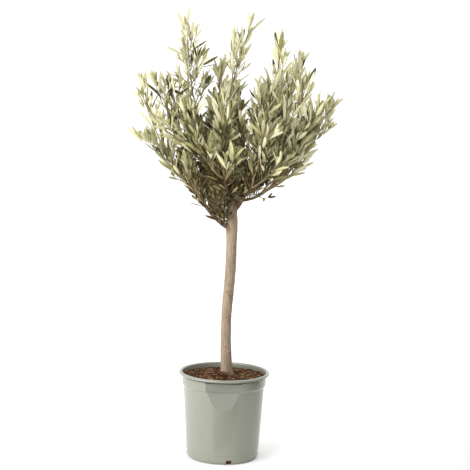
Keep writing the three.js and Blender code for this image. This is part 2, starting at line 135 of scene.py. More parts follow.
# Unevenness of the top: how many to the metre, and the height as a share of the clods' height. The
# lumps' noise has a roughness, a step between its sizes, and a number of sizes.
LUMPS = (75, 0.9)
LUMP_NOISE = (0.9, 2.2, 4)
FINE_CRUMBS = (420, 0.45)
COARSE_CRUMBS = (230, 0.5)
SOIL_SINK = 0.25  # lowers the uneven top back to its level, as the same share
# The top grows calmer towards the wall: down to this share, at this radius, over this width.
CALMEST = 0.25
CALM_RADIUS = 0.096
CALM_WIDTH = 0.012

# What is strewn on the soil: sides, steps along it, ranges of its length and of its largest radius,
# furthest curl, the power that deals out its tints, and the key of its chances.
STREWN = {
    "chips": (4, 3, (0.003, 0.009), (0.0005, 0.0014), 0.4, 1.7, 8),
    "fibres": (3, 7, (0.010, 0.026), (0.0004, 0.0008), 1.6, 0.8, 7),
}
STREWN_TINTS = {"dark": (50, 31, 19), "red": (90, 57, 36), "brown": (82, 53, 34), "tan": (174, 138, 94)}
STREWN_RADIUS = 0.089
STREWN_MIDDLE = 0.03  # share of that area, round the axis, that stays bare
STREWN_LIMIT = 0.0915  # nothing strewn reaches further from the axis
STREWN_FRONT = -0.0865  # nor further to the front
STREWN_TILTS = (-0.05, 0.35)
STREWN_LIFT = 0.4  # how far its middle lies above the soil, as a share of its radius
STREWN_FLATNESS = 0.55
STREWN_RADII = (0.55, 0.45)  # radius at the ends, and what the middle adds, as shares of the largest
STREWN_FROM = 0.3  # height from which it falls onto the soil

# Trunk: height above the soil, lean along X and Y, and radius.
TRUNK_STATIONS = [
    (0.000, 0.0050, 0.0010, 0.0165),
    (0.010, 0.0045, 0.0010, 0.0144),
    (0.030, 0.0034, 0.0005, 0.0136),
    (0.070, 0.0017, 0.0000, 0.0123),
    (0.150, 0.0018, -0.0010, 0.0120),
    (0.225, 0.0071, -0.0010, 0.0123),
    (0.305, 0.0087, 0.0000, 0.0127),
    (0.360, 0.0080, 0.0000, 0.0134),
    (0.395, 0.0085, 0.0000, 0.0104),
    (0.420, 0.0080, 0.0000, 0.0076),
]
TRUNK_HEIGHT = TRUNK_STATIONS[-1][0]
TRUNK_STEPS = 84
FLARE_LOBES = 3
FLARE_DEPTH = 0.1
FLARE_HEIGHT = 0.035

# Scars on the trunk: height above the soil, bearing, size and how far each stands out.
SCARS = [
    (0.197, 258, 0.0060, 0.0011),
    (0.188, 284, 0.0050, 0.0008),
    (0.138, 268, 0.0040, 0.0006),
    (0.054, 312, 0.0056, 0.0014),
    (0.070, 272, 0.0042, 0.0008),
    (0.300, 305, 0.0048, 0.0009),
    (0.268, 80, 0.0055, 0.0010),
    (0.120, 150, 0.0050, 0.0011),
    (0.330, 60, 0.0045, 0.0009),
]
SCAR_SQUASH = 1.35  # a scar is this much wider than high
SCAR_REACH = 2.2  # in sizes of the scar, as the rim's radius
SCAR_RIM = (0.75, 5)  # radius and sharpness
SCAR_HOLLOW = (0.9, 9)  # depth, as a share of the rim's height, and sharpness
SCAR_MARK = (0.9, 3.2)  # strength and sharpness of the dark mark

# Patterns in the bark, across and along the limb in waves to the metre, and their shift along it: the
# furrows, the fine grain and the swellings. Then how high each stands, as a share of the relief.
BARK_PATTERNS = ((330, 55, 0), (800, 160, 7), (60, 28, 3))
BARK_HEIGHTS = (0.9, 0.55, 1.5)
FURROW_WIDTH = 0.28
FURROW_MARK = (0.35, 0.55)  # strength of a furrow's mark, and the depth from which it shows
FULL_RELIEF = 0.011  # a limb of at least this radius has the full relief
DARK_BOUGH_FROM = 6  # a bough's bark takes its full darker colour, partly young bark and partly painted shade, one part in this many along it
BARK_FOOT = 0.004  # how far the bark may reach below the soil's level

# Boughs, under the limb that each grows from: where on it, in metres above the soil or as a share;
# then bearing and lift of the straight line to the tip, its length, how far the limb turns upwards on
# the way, and the radii at its root and tip.
BOUGHS = {
    "trunk": {
        "left_low": (0.338, 185, 43, 0.091, 28, 0.0056, 0.0042),
        "leader": (0.420, 167, 72, 0.072, 26, 0.0066, 0.0044),
        "right": (0.383, 343, 71, 0.088, 54, 0.0082, 0.0050),
        "left": (0.392, 174, 57, 0.101, 34, 0.0062, 0.0042),
        "front": (0.402, 250, 45, 0.084, 30, 0.0056, 0.0040),
        "back": (0.404, 96, 46, 0.086, 30, 0.0056, 0.0040),
    },
    "right": {
        "right_front": (0.40, 300, 34, 0.052, 24, 0.0046, 0.0036),
        "right_back": (0.50, 58, 36, 0.058, 24, 0.0046, 0.0036),
        "right_low": (0.34, 350, 17, 0.046, 26, 0.0040, 0.0032),
    },
}
BOUGH_STEPS = 24
BOUGH_ROUNDNESS = 6

# Shoots, under the bough that each grows on from: share of the bough, bearing, lift, reach to the
# furthest leaf tip, turn upwards on the way, length of the longest side twigs, and size of its leaves.
SHOOTS = {
    "left_low": {
        "outer": (1.00, 185, 44, 0.246, -14, 0.040, 1),
        "upper": (0.97, 166, 60, 0.358, 36, 0.046, 1),
        "front": (0.90, 230, 53, 0.165, 18, 0.040, 1),
        "back": (0.86, 124, 51, 0.171, 16, 0.040, 1),
        "inner": (0.65, 124, 76, 0.116, 10, 0.056, 0.7),
        "sprout": (0.35, 248, 68, 0.100, 16, 0.050, 0.6),
    },
    "left": {
        "tall": (1.00, 188, 79.5, 0.378, 14, 0.048, 1),
        "outer": (0.96, 203, 54, 0.275, 28, 0.066, 1),
        "front": (0.90, 238, 53, 0.227, 26, 0.050, 1),
        "back": (0.86, 120, 47, 0.220, 28, 0.050, 1),
    },
    "leader": {
        "tall": (1.00, 10, 80.5, 0.360, -24, 0.038, 1),
        "front": (0.94, 293, 82.5, 0.333, 12, 0.016, 1),
        "back": (0.90, 115, 80, 0.268, 14, 0.048, 1),
    },
    "right": {
        "tall": (1.00, 358, 77, 0.350, 28, 0.056, 1),
        "outer": (0.95, 347, 57, 0.300, 26, 0.066, 1),
        "inner": (0.90, 261, 58, 0.195, 24, 0.046, 1),
    },
    "right_low": {
        "outer": (1.00, 11, 50, 0.302, 20, 0.066, 1),
        "front": (0.94, 345, 56, 0.285, 20, 0.070, 1),
        "back": (0.88, 24, 34, 0.190, 22, 0.044, 1),
    },
    "front": {
        "tall": (1.00, 264, 71, 0.221, 20, 0.050, 1),
        "left": (0.95, 233, 41, 0.191, 30, 0.050, 1),
        "low": (0.90, 279, 26, 0.160, 30, 0.044, 1),
    },
    "back": {
        "tall": (1.00, 79, 76, 0.234, 14, 0.042, 1),
        "left": (0.95, 118, 51, 0.232, 30, 0.050, 1),
        "low": (0.90, 92, 26, 0.166, 30, 0.044, 1),
    },
    "right_front": {
        "upper": (1.00, 285, 57, 0.215, 24, 0.050, 1),
        "low": (0.92, 318, 36, 0.160, 28, 0.046, 1),
    },
    "right_back": {
        "tall": (1.00, 12, 69, 0.324, 14, 0.070, 1),
        "upper": (0.94, 76, 55, 0.250, 26, 0.044, 1),
        "low": (0.88, 46, 30, 0.158, 28, 0.046, 1),
    },
}

# Shoots whose leaves stand off more, or less, than the others', by this share.
OPENNESS = {
    ("left", "tall"): 1.8,
    ("leader", "tall"): 1.4,
    ("left", "outer"): 1.15,
    ("right", "outer"): 0.9,
}
# Boughs that also have hanging twigs, and the share of the bough from which they do.
HANGING = {"right_low": 0.5, "front": 0.0, "left_low": 0.85}
# Boughs that small old leaves also stand on directly, all along.
CLOTHED = {"front", "leader", "left"}

# The frame's own rule for its shoots, which the finer growth here starts from.
SEED = 4711
FRAME_LEAF = 0.064
TIP_REACH = 0.88
LAST_NODE = 0.94
FIRST_NODE = 0.14
NODE_SPACING = 0.028
TWIG_CHANCE = 0.45
TWIG_LENGTHS = (0.7, 1.1)
TWIG_SPLAY = (52, 26)
SHORTEST_TWIG = 0.014
LIGHT_PULL = 0.3
STEM_SIDES = 4  # faces round a stem that twigs and leaves are turned to

# Stems of the shoots. Splays here and below are in degrees.
STEM_STEP = 0.012  # length of a straight step
STEM_LEAST_STEPS = 8
STEM_SWAY = 0.0016  # how far a stem sways from its line
STEM_TUBE_SIDES = 8
THICKEST_STEM = 0.0032
STEM_ON_BOUGH = 0.8  # radius at its root, as a share of the bough's there
TIP_LEAF_REACH = 0.9  # how far the last leaves reach past the stem, as a share of their length
TIP_LEAF = (18, 0.85)  # splay and size of the last pair of leaves
BUD_LEAF = (11, 0.5)  # the same for the youngest pair, at the end of any stem or twig
SPRAY_NODES = 3  # nodes in a row that share a tint
SHADED = 0.35  # less light than this counts as shade
SHADED_TWIG_CHANCE = 0.9

# Side twigs
TWIG_STEP = 0.009  # length of a straight step
TWIG_LEAST_STEPS = 3
TWIG_RISE = 0.5  # how far a twig turns up over its length
TWIG_WANDER = 0.12  # how far it turns aside over its length
TWIG_KINK = 0.07  # how far it turns aside at each step
TWIG_TAPER = 0.55  # radius at its tip, as a share of that at its root
TWIG_TUBE_SIDES = 5
TWIG_SIDES = 4  # faces round a twig that leaves are turned to
TWIG_ON_STEM = 0.6  # radius at its root, as a share of the stem's there
THICKEST_TWIG = 0.0012
TWIG_LEAF = 0.95  # size of its leaves, as a share of the stem's
UPRIGHT = 0.05  # a twig that leans out less than this counts as upright
LEAF_SPLAY = 33
LAST_LEAF_SPLAY = 17
ORDERS = 2  # a twig of this order carries no finer ones
# Finer twigs, which stand in place of leaves. Lengths, radius and leaf size are shares of the twig's.
FINER_SPLAYS = (35, 60)
FINER_LENGTHS = (0.35, 0.6)
FINER_PULL = 0.25  # how far they turn up to the light
FINER_RADIUS = 0.6
FINER_LEAF = 0.92
SHORTEST_FINER = 0.012
SHORTEST_WITH_FINER = 0.03  # length of the shortest twig that carries them

# Short twigs on the boughs themselves, and the leaves beside them.
BOUGH_TWIG_SPACING = 0.006
BOUGH_TWIGS_FROM = 0.06  # share of the bough from which they stand
BOUGH_TWIG_SPLAY = 62
BOUGH_TWIG_SHORTEST = 0.022
BOUGH_TWIG_LONGEST = 0.06
HANGING_LONGEST = 0.05
BOUGH_TWIG_RADIUS = 0.0010
BOUGH_TWIG_PULL = 0.2  # how far they turn up to the light, where they don't hang
LOWEST_HEADING = 0.1  # least upward part of the direction of one that doesn't hang
BOUGH_LEAF_SPLAY = 42

# Leaves: the ranges that single leaves are drawn from.
LEAF_RANGES = {
    "splay": (0.75, 1.25),
    "turn": (-0.35, 0.35),
    "twist": (-1, 1),
    "size": (0.82, 1.1),
    "bend": (-0.1, 0.26),
    "fold": (0.1, 0.5),
}
LEAF_WIDTHS = (0.86, 1.12)
LEAF_NARROWING = (0.35, 1)  # width of the smallest and of a full-grown leaf
LEAF_SEAT = 0.6  # how far out in its twig a leaf begins
SPACING_RANGE = (0.25, 1)  # spacing of the smallest and of full-grown leaves
SIZE_ALONG = (0.62, 1)  # size of the leaves at a twig's ends and at its fullest
FULLNESS_ALONG = (0.15, 1)  # where on the half wave between those the twig starts and ends
# One leaf from its stalk to its tip: share of the length, and half width as a share of the widest.
LEAF_STATIONS = [
    (0.0, 0.13), (0.07, 0.12), (0.20, 0.50), (0.38, 0.88), (0.60, 1.0), (0.80, 0.80), (0.93, 0.42),
]
# The points round a station: left edge, upper middle, right edge, lower middle. How far each lies to the
# left, as a share of the half width, and up, as a share of the thickness.
POINTS_LEFT = (1.0, 0.0, -1.0, 0.0)
POINTS_UP = (0.0, 0.5, 0.0, -0.5)
STATION_POINTS = len(POINTS_UP)
RIM_POINTS = (0, 2)
UPPER_FACES = (0, 1)  # of the faces that start at these points, those on the upper side
FOLD_LEVEL = 0.55  # how far out on a folded leaf its level stays
LEAF_ROUGHNESS = {"upper": 0.42, "under": 0.62}
LEAF_SHEEN = {"upper": 0.32, "under": 0.2}

# The shaded core of the crown: its middle, its radius, and how far out the full light begins.
CORE = Vector((0, 0, 0.64))
CORE_RADIUS = 0.07
CORE_FADE = 0.14
CORE_LEAF = 0.58  # size of the leaves there, as a share of the outer ones
FULL_LIGHT = 1.0
# The tints of the leaves, by the settings that hold them. More light gives the first three in turn.
TINTS = ("shade", "", "young", "green")
TINT_LIMITS = (0.34, 0.68)
TINT_SCATTER = 0.3
SHADE = TINTS.index("shade")
GREEN = TINTS.index("green")
VARIED_TINTS = (1, 2)  # sprays of these tints also have darker leaves
GREEN_FROM = 0.3  # no spray with less light than this is green
# Single dark leaves grow rarer towards this height, from this far under it, but not past this share.
DARK_LEAF_TOP = 0.95
DARK_LEAF_FADE = 0.12
DARK_LEAF_LEAST = 0.3

FIRST_KINK = 9  # key of a twig's first kink, after those of its wander
# Keys of the chances taken.
FOR = {
    "length": 2, "kind": 3, "face": 5, "finer_splay": 8, "twist": 31, "size": 32, "splay": 33, "bend": 34,
    "turn": 35, "drop": 36, "tint": 37, "wobble": 38, "fold": 39, "leaf": 50, "finer": 70, "bough": 90,
}
FOR_STREWN = {"radius": 1, "bearing": 2, "way": 3, "length": 4, "thick": 5, "curl": 6, "tilt": 9, "tint": 10}

# Stage
CAMERA_X = 0.016
SENSOR_WIDTH = 36
FLOOR_SIZE = 30
KEY_LIGHT_PLACE = (-1.95, -1.85, 1.15)
KEY_LIGHT_SIZE = (2.4, 2.2)
KEY_LIGHT_AIM = Vector((0, 0, 0.55))
# Upright cards: share of the card distance, place along Y, middle's height; height and width; turn in
# degrees.
CARDS = {
    "side_card": (1, -0.43, 0.26, (0.51, 1.34), 0),
    "front_card": (0.65, -1.35, 0.3, (0.6, 0.85), 24),
}
# The card on the floor is turned about its corner under the trunk, and then moved.
FLOOR_CARD_SIZE = (0.9, 0.7)
FLOOR_CARD_LIFT = 0.001
FLOOR_CARD_TURN = math.radians(29)
FLOOR_CARD_MOVE = (-0.05, -0.15, 0)


# Limbs and the rule they branch by


def heading(bearing, lift):
    """The direction with this bearing, from +X towards +Y, and this lift above level, in degrees."""
    around, up = math.radians(bearing), math.radians(lift)
    return Vector((math.cos(around) * math.cos(up), math.sin(around) * math.cos(up), math.sin(up)))


def chance(*keys):
    """The same number between 0 and 1 for the same keys, whatever grew before."""
    low_bits = 0xFFFFFFFF
    mixed = SEED
    for key in keys:
        mixed ^= (key + 0x9E3779B9) & low_bits
        mixed = (mixed * 0x85EBCA6B) & low_bits
        mixed ^= mixed >> 13
        mixed = (mixed * 0xC2B2AE35) & low_bits
        mixed ^= mixed >> 16
    return mixed / 2**32


def between(low, high, *keys):
    """A number between these two, drawn by the keys."""
    return low + (high - low) * chance(*keys)


def wobble(*keys, first=0):
    """A vector with parts between -1 and 1, drawn by the keys."""
    return Vector([between(-1, 1, *keys, first + part) for part in range(3)])


def mix(pair, share):
    """The value this share of the way along a pair."""
    return pair[0] + (pair[1] - pair[0]) * share


def curve(start, knee, end, steps):
    """Points of a curve from start to end that the knee draws towards itself."""
    points = []
    for step in range(steps + 1):
        share = step / steps
        points.append(start.lerp(knee, share).lerp(knee.lerp(end, share), share))
    return points


def bent_line(start, bearing, lift, rise, length, steps):
    """Points of a line that reaches this far, but sets off flatter and ends steeper."""
    leg = length / 2 / math.cos(math.radians(rise / 2))
    knee = start + heading(bearing, lift - rise / 2) * leg
    return curve(start, knee, knee + heading(bearing, lift + rise / 2) * leg, steps)


class Limb:
    """A tapering limb along a line of points, with a frame that twigs and leaves are turned by."""

    def __init__(self, points, side, radii):
        self.points, self.side, self.radii = points, side, radii
        reach = [0.0]
        for low, high in zip(points, points[1:]):
            reach.append(reach[-1] + (high - low).length)
        self.length = reach[-1]
        self.shares = [far / self.length for far in reach]

    def at(self, share):
        """The place, axis, across and away directions at this share of the length."""
        above = min(max(bisect_left(self.shares, share), 1), len(self.points) - 1)
        low, high = self.shares[above - 1], self.shares[above]
        part = (share - low) / (high - low)
        place = self.points[above - 1].lerp(self.points[above], part)
        axis = self.tangent(above - 1).lerp(self.tangent(above), part).normalized()
        across = (self.side - axis * axis.dot(self.side)).normalized()
        return place, axis, across, axis.cross(across)

    def tangent(self, point):
        """The direction of the limb at this point of its line."""
        before, after = max(point - 1, 0), min(point + 1, len(self.points) - 1)
        return (self.points[after] - self.points[before]).normalized()

    def radius(self, share):
        """The radius at this share of the length."""
        return mix(self.radii, share)


class TrunkLimb(Limb):
    """The trunk: its radius follows the stations."""

    def radius(self, share):
        heights, _, _, radii = zip(*TRUNK_STATIONS)
        return float(np.interp(share * TRUNK_HEIGHT, heights, radii))


def smooth_through(heights, values, height):
    """A smooth curve through the values at these heights."""
    above = min(max(bisect_left(heights, height), 1), len(heights) - 1)
    low, high = above - 1, above
    span = heights[high] - heights[low]
    before, after = max(low - 1, 0), min(high + 1, len(heights) - 1)
    slope_low = (values[high] - values[before]) / (heights[high] - heights[before]) * span
    slope_high = (values[after] - values[low]) / (heights[after] - heights[low]) * span
    t = (height - heights[low]) / span
    return (
        (2 * t**3 - 3 * t**2 + 1) * values[low]
        + (t**3 - 2 * t**2 + t) * slope_low
        + (3 * t**2 - 2 * t**3) * values[high]
        + (t**3 - t**2) * slope_high
    )


def trunk_limb():
    """The trunk from the frame's soil level to the leader."""
    heights, leans_x, leans_y, radii = zip(*TRUNK_STATIONS)
    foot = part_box("trunk")[0].z
    points = []
    for step in range(TRUNK_STEPS + 1):
        height = TRUNK_HEIGHT * step / TRUNK_STEPS
        lean = smooth_through(heights, leans_x, height), smooth_through(heights, leans_y, height)
        points.append(Vector((*lean, foot + height)))
    return TrunkLimb(points, Vector((1, 0, 0)), (radii[0], radii[-1]))


def all_limbs():
    """The trunk and the boughs by name."""
    limbs = {"trunk": trunk_limb()}
    for parent, boughs in BOUGHS.items():
        for name, (at, bearing, lift, length, rise, root, tip) in boughs.items():
            share = at / TRUNK_HEIGHT if parent == "trunk" else at
            start = limbs[parent].at(share)[0]
            points = bent_line(start, bearing, lift, rise, length, BOUGH_STEPS)
            limbs[name] = Limb(points, heading(bearing - 90, 0), (root, tip))
    return limbs


def splayed(axis, across, away, turn, splay):
    """The direction that splays this much from a limb's axis, on the side that the turn gives."""
    outwards = across * math.cos(turn) + away * math.sin(turn)
    return outwards * math.sin(splay) + axis * math.cos(splay)


def risen(direction, pull=LIGHT_PULL):
    """The direction turned up towards the light."""
    return (direction + UP * pull).normalized()


# Modelling helpers


def deselect():
    """Deselects all objects, as the frame's nodes are selected once it is loaded."""
    bpy.ops.object.select_all(action="DESELECT")


def start_piece(name):
    """Takes the new primitive as a piece of this name, in edit mode."""
    piece = bpy.context.object
    piece.name = piece.data.name = name
    bpy.ops.object.mode_set(mode="EDIT")
    return piece


def add_modifier(piece, kind, **settings):
    """Adds a modifier of this kind with these settings."""
    modifier = piece.modifiers.new(kind.title(), kind)
    for key, value in settings.items():
        setattr(modifier, key, value)


def apply_modifiers(piece):
    """Applies all the piece's modifiers in turn."""
    bpy.context.view_layer.objects.active = piece
    for modifier in list(piece.modifiers):
        bpy.ops.object.modifier_apply(modifier=modifier.name)


def smooth_up_to(piece, angle):
    """Shades the piece smooth, but for edges sharper than this angle."""
    deselect()
    piece.select_set(True)
    bpy.context.view_layer.objects.active = piece
    bpy.ops.object.shade_smooth_by_angle(angle=angle)


def mesh_piece(name, points, faces, smooth=True):
    """A piece from arrays of points and faces."""
    mesh = bpy.data.meshes.new(name)
    mesh.from_pydata(points, [], faces)
    mesh.polygons.foreach_set("use_smooth", [smooth] * len(mesh.polygons))
    mesh.update()
    piece = bpy.data.objects.new(name, mesh)
    bpy.context.scene.collection.objects.link(piece)
    return piece


def spun(name, outline, segments):
    """A closed shape turned round the upright axis from an outline that starts and ends on it."""
    deselect()
    bpy.ops.mesh.primitive_plane_add(size=MM)
    piece = start_piece(name)
    bpy.ops.mesh.merge(type="CENTER")
    bpy.ops.transform.translate(value=(outline[0][0], 0, outline[0][1]))
    for (radius, height), (next_radius, next_height) in zip(outline, outline[1:]):
        move = {"value": (next_radius - radius, 0, next_height - height)}
        bpy.ops.mesh.extrude_vertices_move(TRANSFORM_OT_translate=move)
    bpy.ops.mesh.select_all(action="SELECT")
    bpy.ops.mesh.spin(steps=segments, angle=2 * math.pi, center=(0, 0, 0), axis=(0, 0, 1))
    bpy.ops.mesh.select_all(action="SELECT")
    bpy.ops.mesh.remove_doubles(threshold=NEAR)
    bpy.ops.mesh.normals_make_consistent(inside=False)
    bpy.ops.object.mode_set(mode="OBJECT")
    return piece


def arc(centre, radius, start, end, steps):
    """Points of an arc in the outline's plane, from one angle to the other, in radians."""
    points = []
    for step in range(steps + 1):
        angle = start + (end - start) * step / steps
        points.append((centre[0] + radius * math.cos(angle), centre[1] + radius * math.sin(angle)))
    return points


def rounded(corners, radius):
    """An outline with each corner between its ends rounded off."""
    points = [corners[0]]
    for before, corner, after in zip(corners, corners[1:], corners[2:]):
        corner_at, legs = Vector(corner), [Vector(before) - Vector(corner), Vector(after) - Vector(corner)]
        reach = min(radius, *(leg.length * LEG_SHARE for leg in legs))
        start, end = (corner_at + leg.normalized() * reach for leg in legs)
        points += [tuple(point) for point in curve(start, corner_at, end, ROUND_STEPS)]
    return points + [corners[-1]]


def subdivided(outline, longest):
    """An outline with no stretch longer than this."""
    points = [outline[0]]
    for low, high in zip(outline, outline[1:]):
        count = max(1, math.ceil((Vector(high) - Vector(low)).length / longest))
        points += [tuple(Vector(low).lerp(Vector(high), step / count)) for step in range(1, count + 1)]
    return points


def tube_into(points, faces, line, radii, sides, flat=1.0):
    """Adds a closed tube along a line to the points and faces."""
    first = len(points)
    is_along_y = abs((line[-1] - line[0]).normalized().y) >= ALONG_Y
    reference = TUBE_SIDE_ALONG_Y if is_along_y else TUBE_SIDE
    for ring, (place, radius) in enumerate(zip(line, radii)):
        ahead = line[min(ring + 1, len(line) - 1)] - line[max(ring - 1, 0)]
        axis = ahead.normalized()
        across = (reference - axis * axis.dot(reference)).normalized()
        away = axis.cross(across)
        for side in range(sides):
            turn = 2 * math.pi * side / sides
            sideways, upwards = radius * math.cos(turn), radius * flat * math.sin(turn)
            points.append(place + across * sideways + away * upwards)
    for ring in range(len(line) - 1):
        for side in range(sides):
            low, beside = first + ring * sides + side, first + ring * sides + (side + 1) % sides
            faces.append((low, beside, beside + sides, low + sides))
    last = first + (len(line) - 1) * sides
    faces.append(tuple(first + side for side in reversed(range(sides))))
    faces.append(tuple(last + side for side in range(sides)))


# Materials


class Finish:
    """A material being made: its shader, and the nodes that feed it."""

    def __init__(self, name, roughness, sheen=0.5):
        self.material = bpy.data.materials.new(name)
        self.material.use_nodes = True
        tree = self.material.node_tree
        self.nodes, self.links = tree.nodes, tree.links
        self.shader = tree.nodes["Principled BSDF"].inputs
        self.feed(self.shader["Roughness"], roughness)
        self.feed(self.shader["Specular IOR Level"], sheen)

    def feed(self, socket, value):
        """Links a socket to another node's output, or sets it to a value or a colour."""
        if isinstance(value, bpy.types.NodeSocket):
            self.links.new(value, socket)
        else:
            socket.default_value = (*value[:3], 1) if socket.type == "RGBA" else value

    def node(self, kind, **inputs):
        """A node with these inputs fed. In their names _ stands for a space."""
        found = self.nodes.new(kind)
        for name, value in inputs.items():
            self.feed(found.inputs[name.replace("_", " ")], value)
        return found

    def coordinates(self, stretch=(1, 1, 1)):
        """The piece's own coordinates, stretched by these factors."""
        place = self.node("ShaderNodeTexCoord").outputs["Object"]
        return self.node("ShaderNodeMapping", Vector=place, Scale=stretch).outputs["Vector"]

    def pattern(self, place, scale, detail, roughness=0.55):
        """A noise pattern's value on these coordinates."""
        found = self.node("ShaderNodeTexNoise", Vector=place, Scale=scale, Detail=detail, Roughness=roughness)
        return found.outputs["Fac"]

    def attribute(self, name):
        """The value that the mesh's points hold under this name."""
        found = self.node("ShaderNodeAttribute")
        found.attribute_name = name
        return found.outputs["Fac"]

    def mapped(self, value, start, end):
        """The value carried from one range to another. Each end pairs the old number with the new one."""
        ends = {"From_Min": start[0], "From_Max": end[0], "To_Min": start[1], "To_Max": end[1]}
        return self.node("ShaderNodeMapRange", Value=value, **ends).outputs["Result"]

    def ramp(self, value, *stops):
        """The value's colour on a ramp with these places and colours."""
        found = self.node("ShaderNodeValToRGB", Fac=value)
        elements = found.color_ramp.elements
        while len(elements) < len(stops):
            elements.new(0.5)
        for element, (place, colour) in zip(elements, stops):
            element.position = place
            element.color = (*colour[:3], 1)
        return found.outputs["Color"]

    def mixed(self, factor, low, high):
        """The two colours mixed by a value. Each is a socket or a plain colour."""
        blend = self.node("ShaderNodeMix", Factor=factor)
        blend.data_type = "RGBA"
        sockets = [socket for socket in blend.inputs if socket.type == "RGBA"]
        for socket, colour in zip(sockets, (low, high)):
            self.feed(socket, colour)
        return next(socket for socket in blend.outputs if socket.type == "RGBA")

    def colour(self, colour):
        """Gives the material this colour, plain or from a node."""
        self.feed(self.shader["Base Color"], colour)

    def bump(self, height, strength, distance):
        """Gives the material small relief of this height."""
        found = self.node("ShaderNodeBump", Strength=strength, Distance=distance, Height=height)
        self.feed(self.shader["Normal"], found.outputs["Normal"])


def linear(colour):
    """A display colour from 0 to 255 as linear light."""
    return tuple(((c / 255 + 0.055) / 1.055) ** 2.4 if c > 10 else c / 255 / 12.92 for c in colour)


def tinted(colour, *shares):
    """A colour with its red, green and blue scaled, by one share or by three."""
    shares = shares if len(shares) == 3 else shares * 3
    return tuple(min(1, part * share) for part, share in zip(colour[:3], shares))


def plain_material(name, colour, roughness, sheen=0.5):
    """A material of one plain colour."""
    finish = Finish(name, roughness, sheen)
    finish.colour(colour)
    return finish.material


def moulded_plastic(name, colour, roughness):
    """Sage plastic with a soft sheen, faintly mottled, and dustier towards the foot."""
    finish = Finish(name, roughness, sheen=0.8)
    place = finish.coordinates()
    mottle = finish.pattern(place, scale=35, detail=3)
    tint = finish.ramp(mottle, (0.3, tinted(colour, 0.96)), (0.7, tinted(colour, 1.03)))
    height = finish.node("ShaderNodeSeparateXYZ", Vector=place).outputs["Z"]
    low_down = finish.mapped(height, (0.0, 0.22), (0.03, 0.0))
    finish.colour(finish.mixed(low_down, tint, tinted(colour, 0.92, 0.86, 0.74)))
    finish.bump(finish.pattern(place, scale=1400, detail=2), strength=0.06, distance=0.0001)
    return finish.material


def potting_mix(dark, red):
    """Dark, fibrous soil with reddish and tan crumbs."""
    finish = Finish("soil_potting_mix", roughness=0.95, sheen=0.15)
    place = finish.coordinates()
    patches = finish.pattern(place, scale=130, detail=6, roughness=0.65)
    stops = (0.40, tinted(dark, 0.35)), (0.48, dark), (0.56, red), (0.68, tinted(red, 1.9))
    finish.colour(finish.ramp(patches, *stops))
    crumbs = finish.pattern(place, scale=520, detail=5, roughness=0.7)
    finish.bump(crumbs, strength=0.7, distance=0.0012)
    return finish.material


def bark_material(pale, dark, brown):
    """Bark streaked lengthwise, greyer in patches, redder at its scars, and darker brown on the boughs,
    partly younger bark and partly painted shade.
    """
    finish = Finish("trunk_bark", roughness=0.82)
    streaks = finish.pattern(finish.coordinates((1, 1, 0.12)), scale=260, detail=6, roughness=0.66)
    patches = finish.pattern(finish.coordinates((1, 1, 0.5)), scale=75, detail=5, roughness=0.62)
    tint = finish.ramp(streaks, (0.36, dark), (0.50, pale), (0.66, tinted(pale, 1.05)))
    greyer = finish.mapped(patches, (0.50, 0.0), (0.62, 0.42))
    tint = finish.mixed(greyer, tint, tinted(pale, 0.56, 0.60, 0.58))
    # The boughs' darker brown: partly young bark, partly painted shade.
    dark_bough_tint = finish.ramp(streaks, (0.40, tinted(brown, 0.6)), (0.60, brown))
    tint = finish.mixed(finish.attribute("young"), tint, dark_bough_tint)
    finish.colour(finish.mixed(finish.attribute("scar"), tint, tinted(dark, 0.85, 0.6, 0.45)))
    grain = finish.pattern(finish.coordinates((1, 1, 0.25)), scale=700, detail=5, roughness=0.7)
    finish.bump(grain, strength=0.3, distance=0.0004)
    return finish.material


def twig_bark(colour):
    """The smoother greenish-tan bark of shoots and twigs."""
    finish = Finish("twig_bark", roughness=0.72)
    place = finish.coordinates()
    patches = finish.pattern(place, scale=160, detail=4)
    brown, pale = tinted(colour, 0.74, 0.63, 0.48), tinted(colour, 1.25)
    finish.colour(finish.ramp(patches, (0.36, brown), (0.52, colour), (0.7, pale)))
    finish.bump(finish.pattern(place, scale=1100, detail=3), strength=0.35, distance=0.0002)
    return finish.material


# Pot


def wall_corners(inwards):
    """The wall's outline from the middle of the floor to the band, moved inwards by this much."""
    foot = FOOT_RADIUS - inwards
    turn = Vector((UNDERSIDE_RADIUS, inwards)), Vector((foot, inwards)), Vector((foot, FOOT_ROUND))
    corners = [(0, inwards), *(tuple(point) for point in curve(*turn, FOOT_STEPS))]
    if inwards == 0:
        corners.append((FOOT_RADIUS, FOOT_LINE))
        corners.append((FOOT_RADIUS + 2 * FOOT_STEP, FOOT_LINE + FOOT_STEP))
    corners.append((BODY_TOP_RADIUS - inwards, BODY_TOP - inwards))
    corners.append((BAND_FOOT_RADIUS - inwards, BAND_FOOT - inwards))
    return corners


def wall_radius(height):
    """The outer radius of the round wall at this height."""
    corners = [corner for corner in wall_corners(0) if corner[1] >= FOOT_ROUND]
    radii, heights = zip(*corners, (BAND_TOP_RADIUS, POT_HEIGHT))
    return float(np.interp(height, heights, radii))


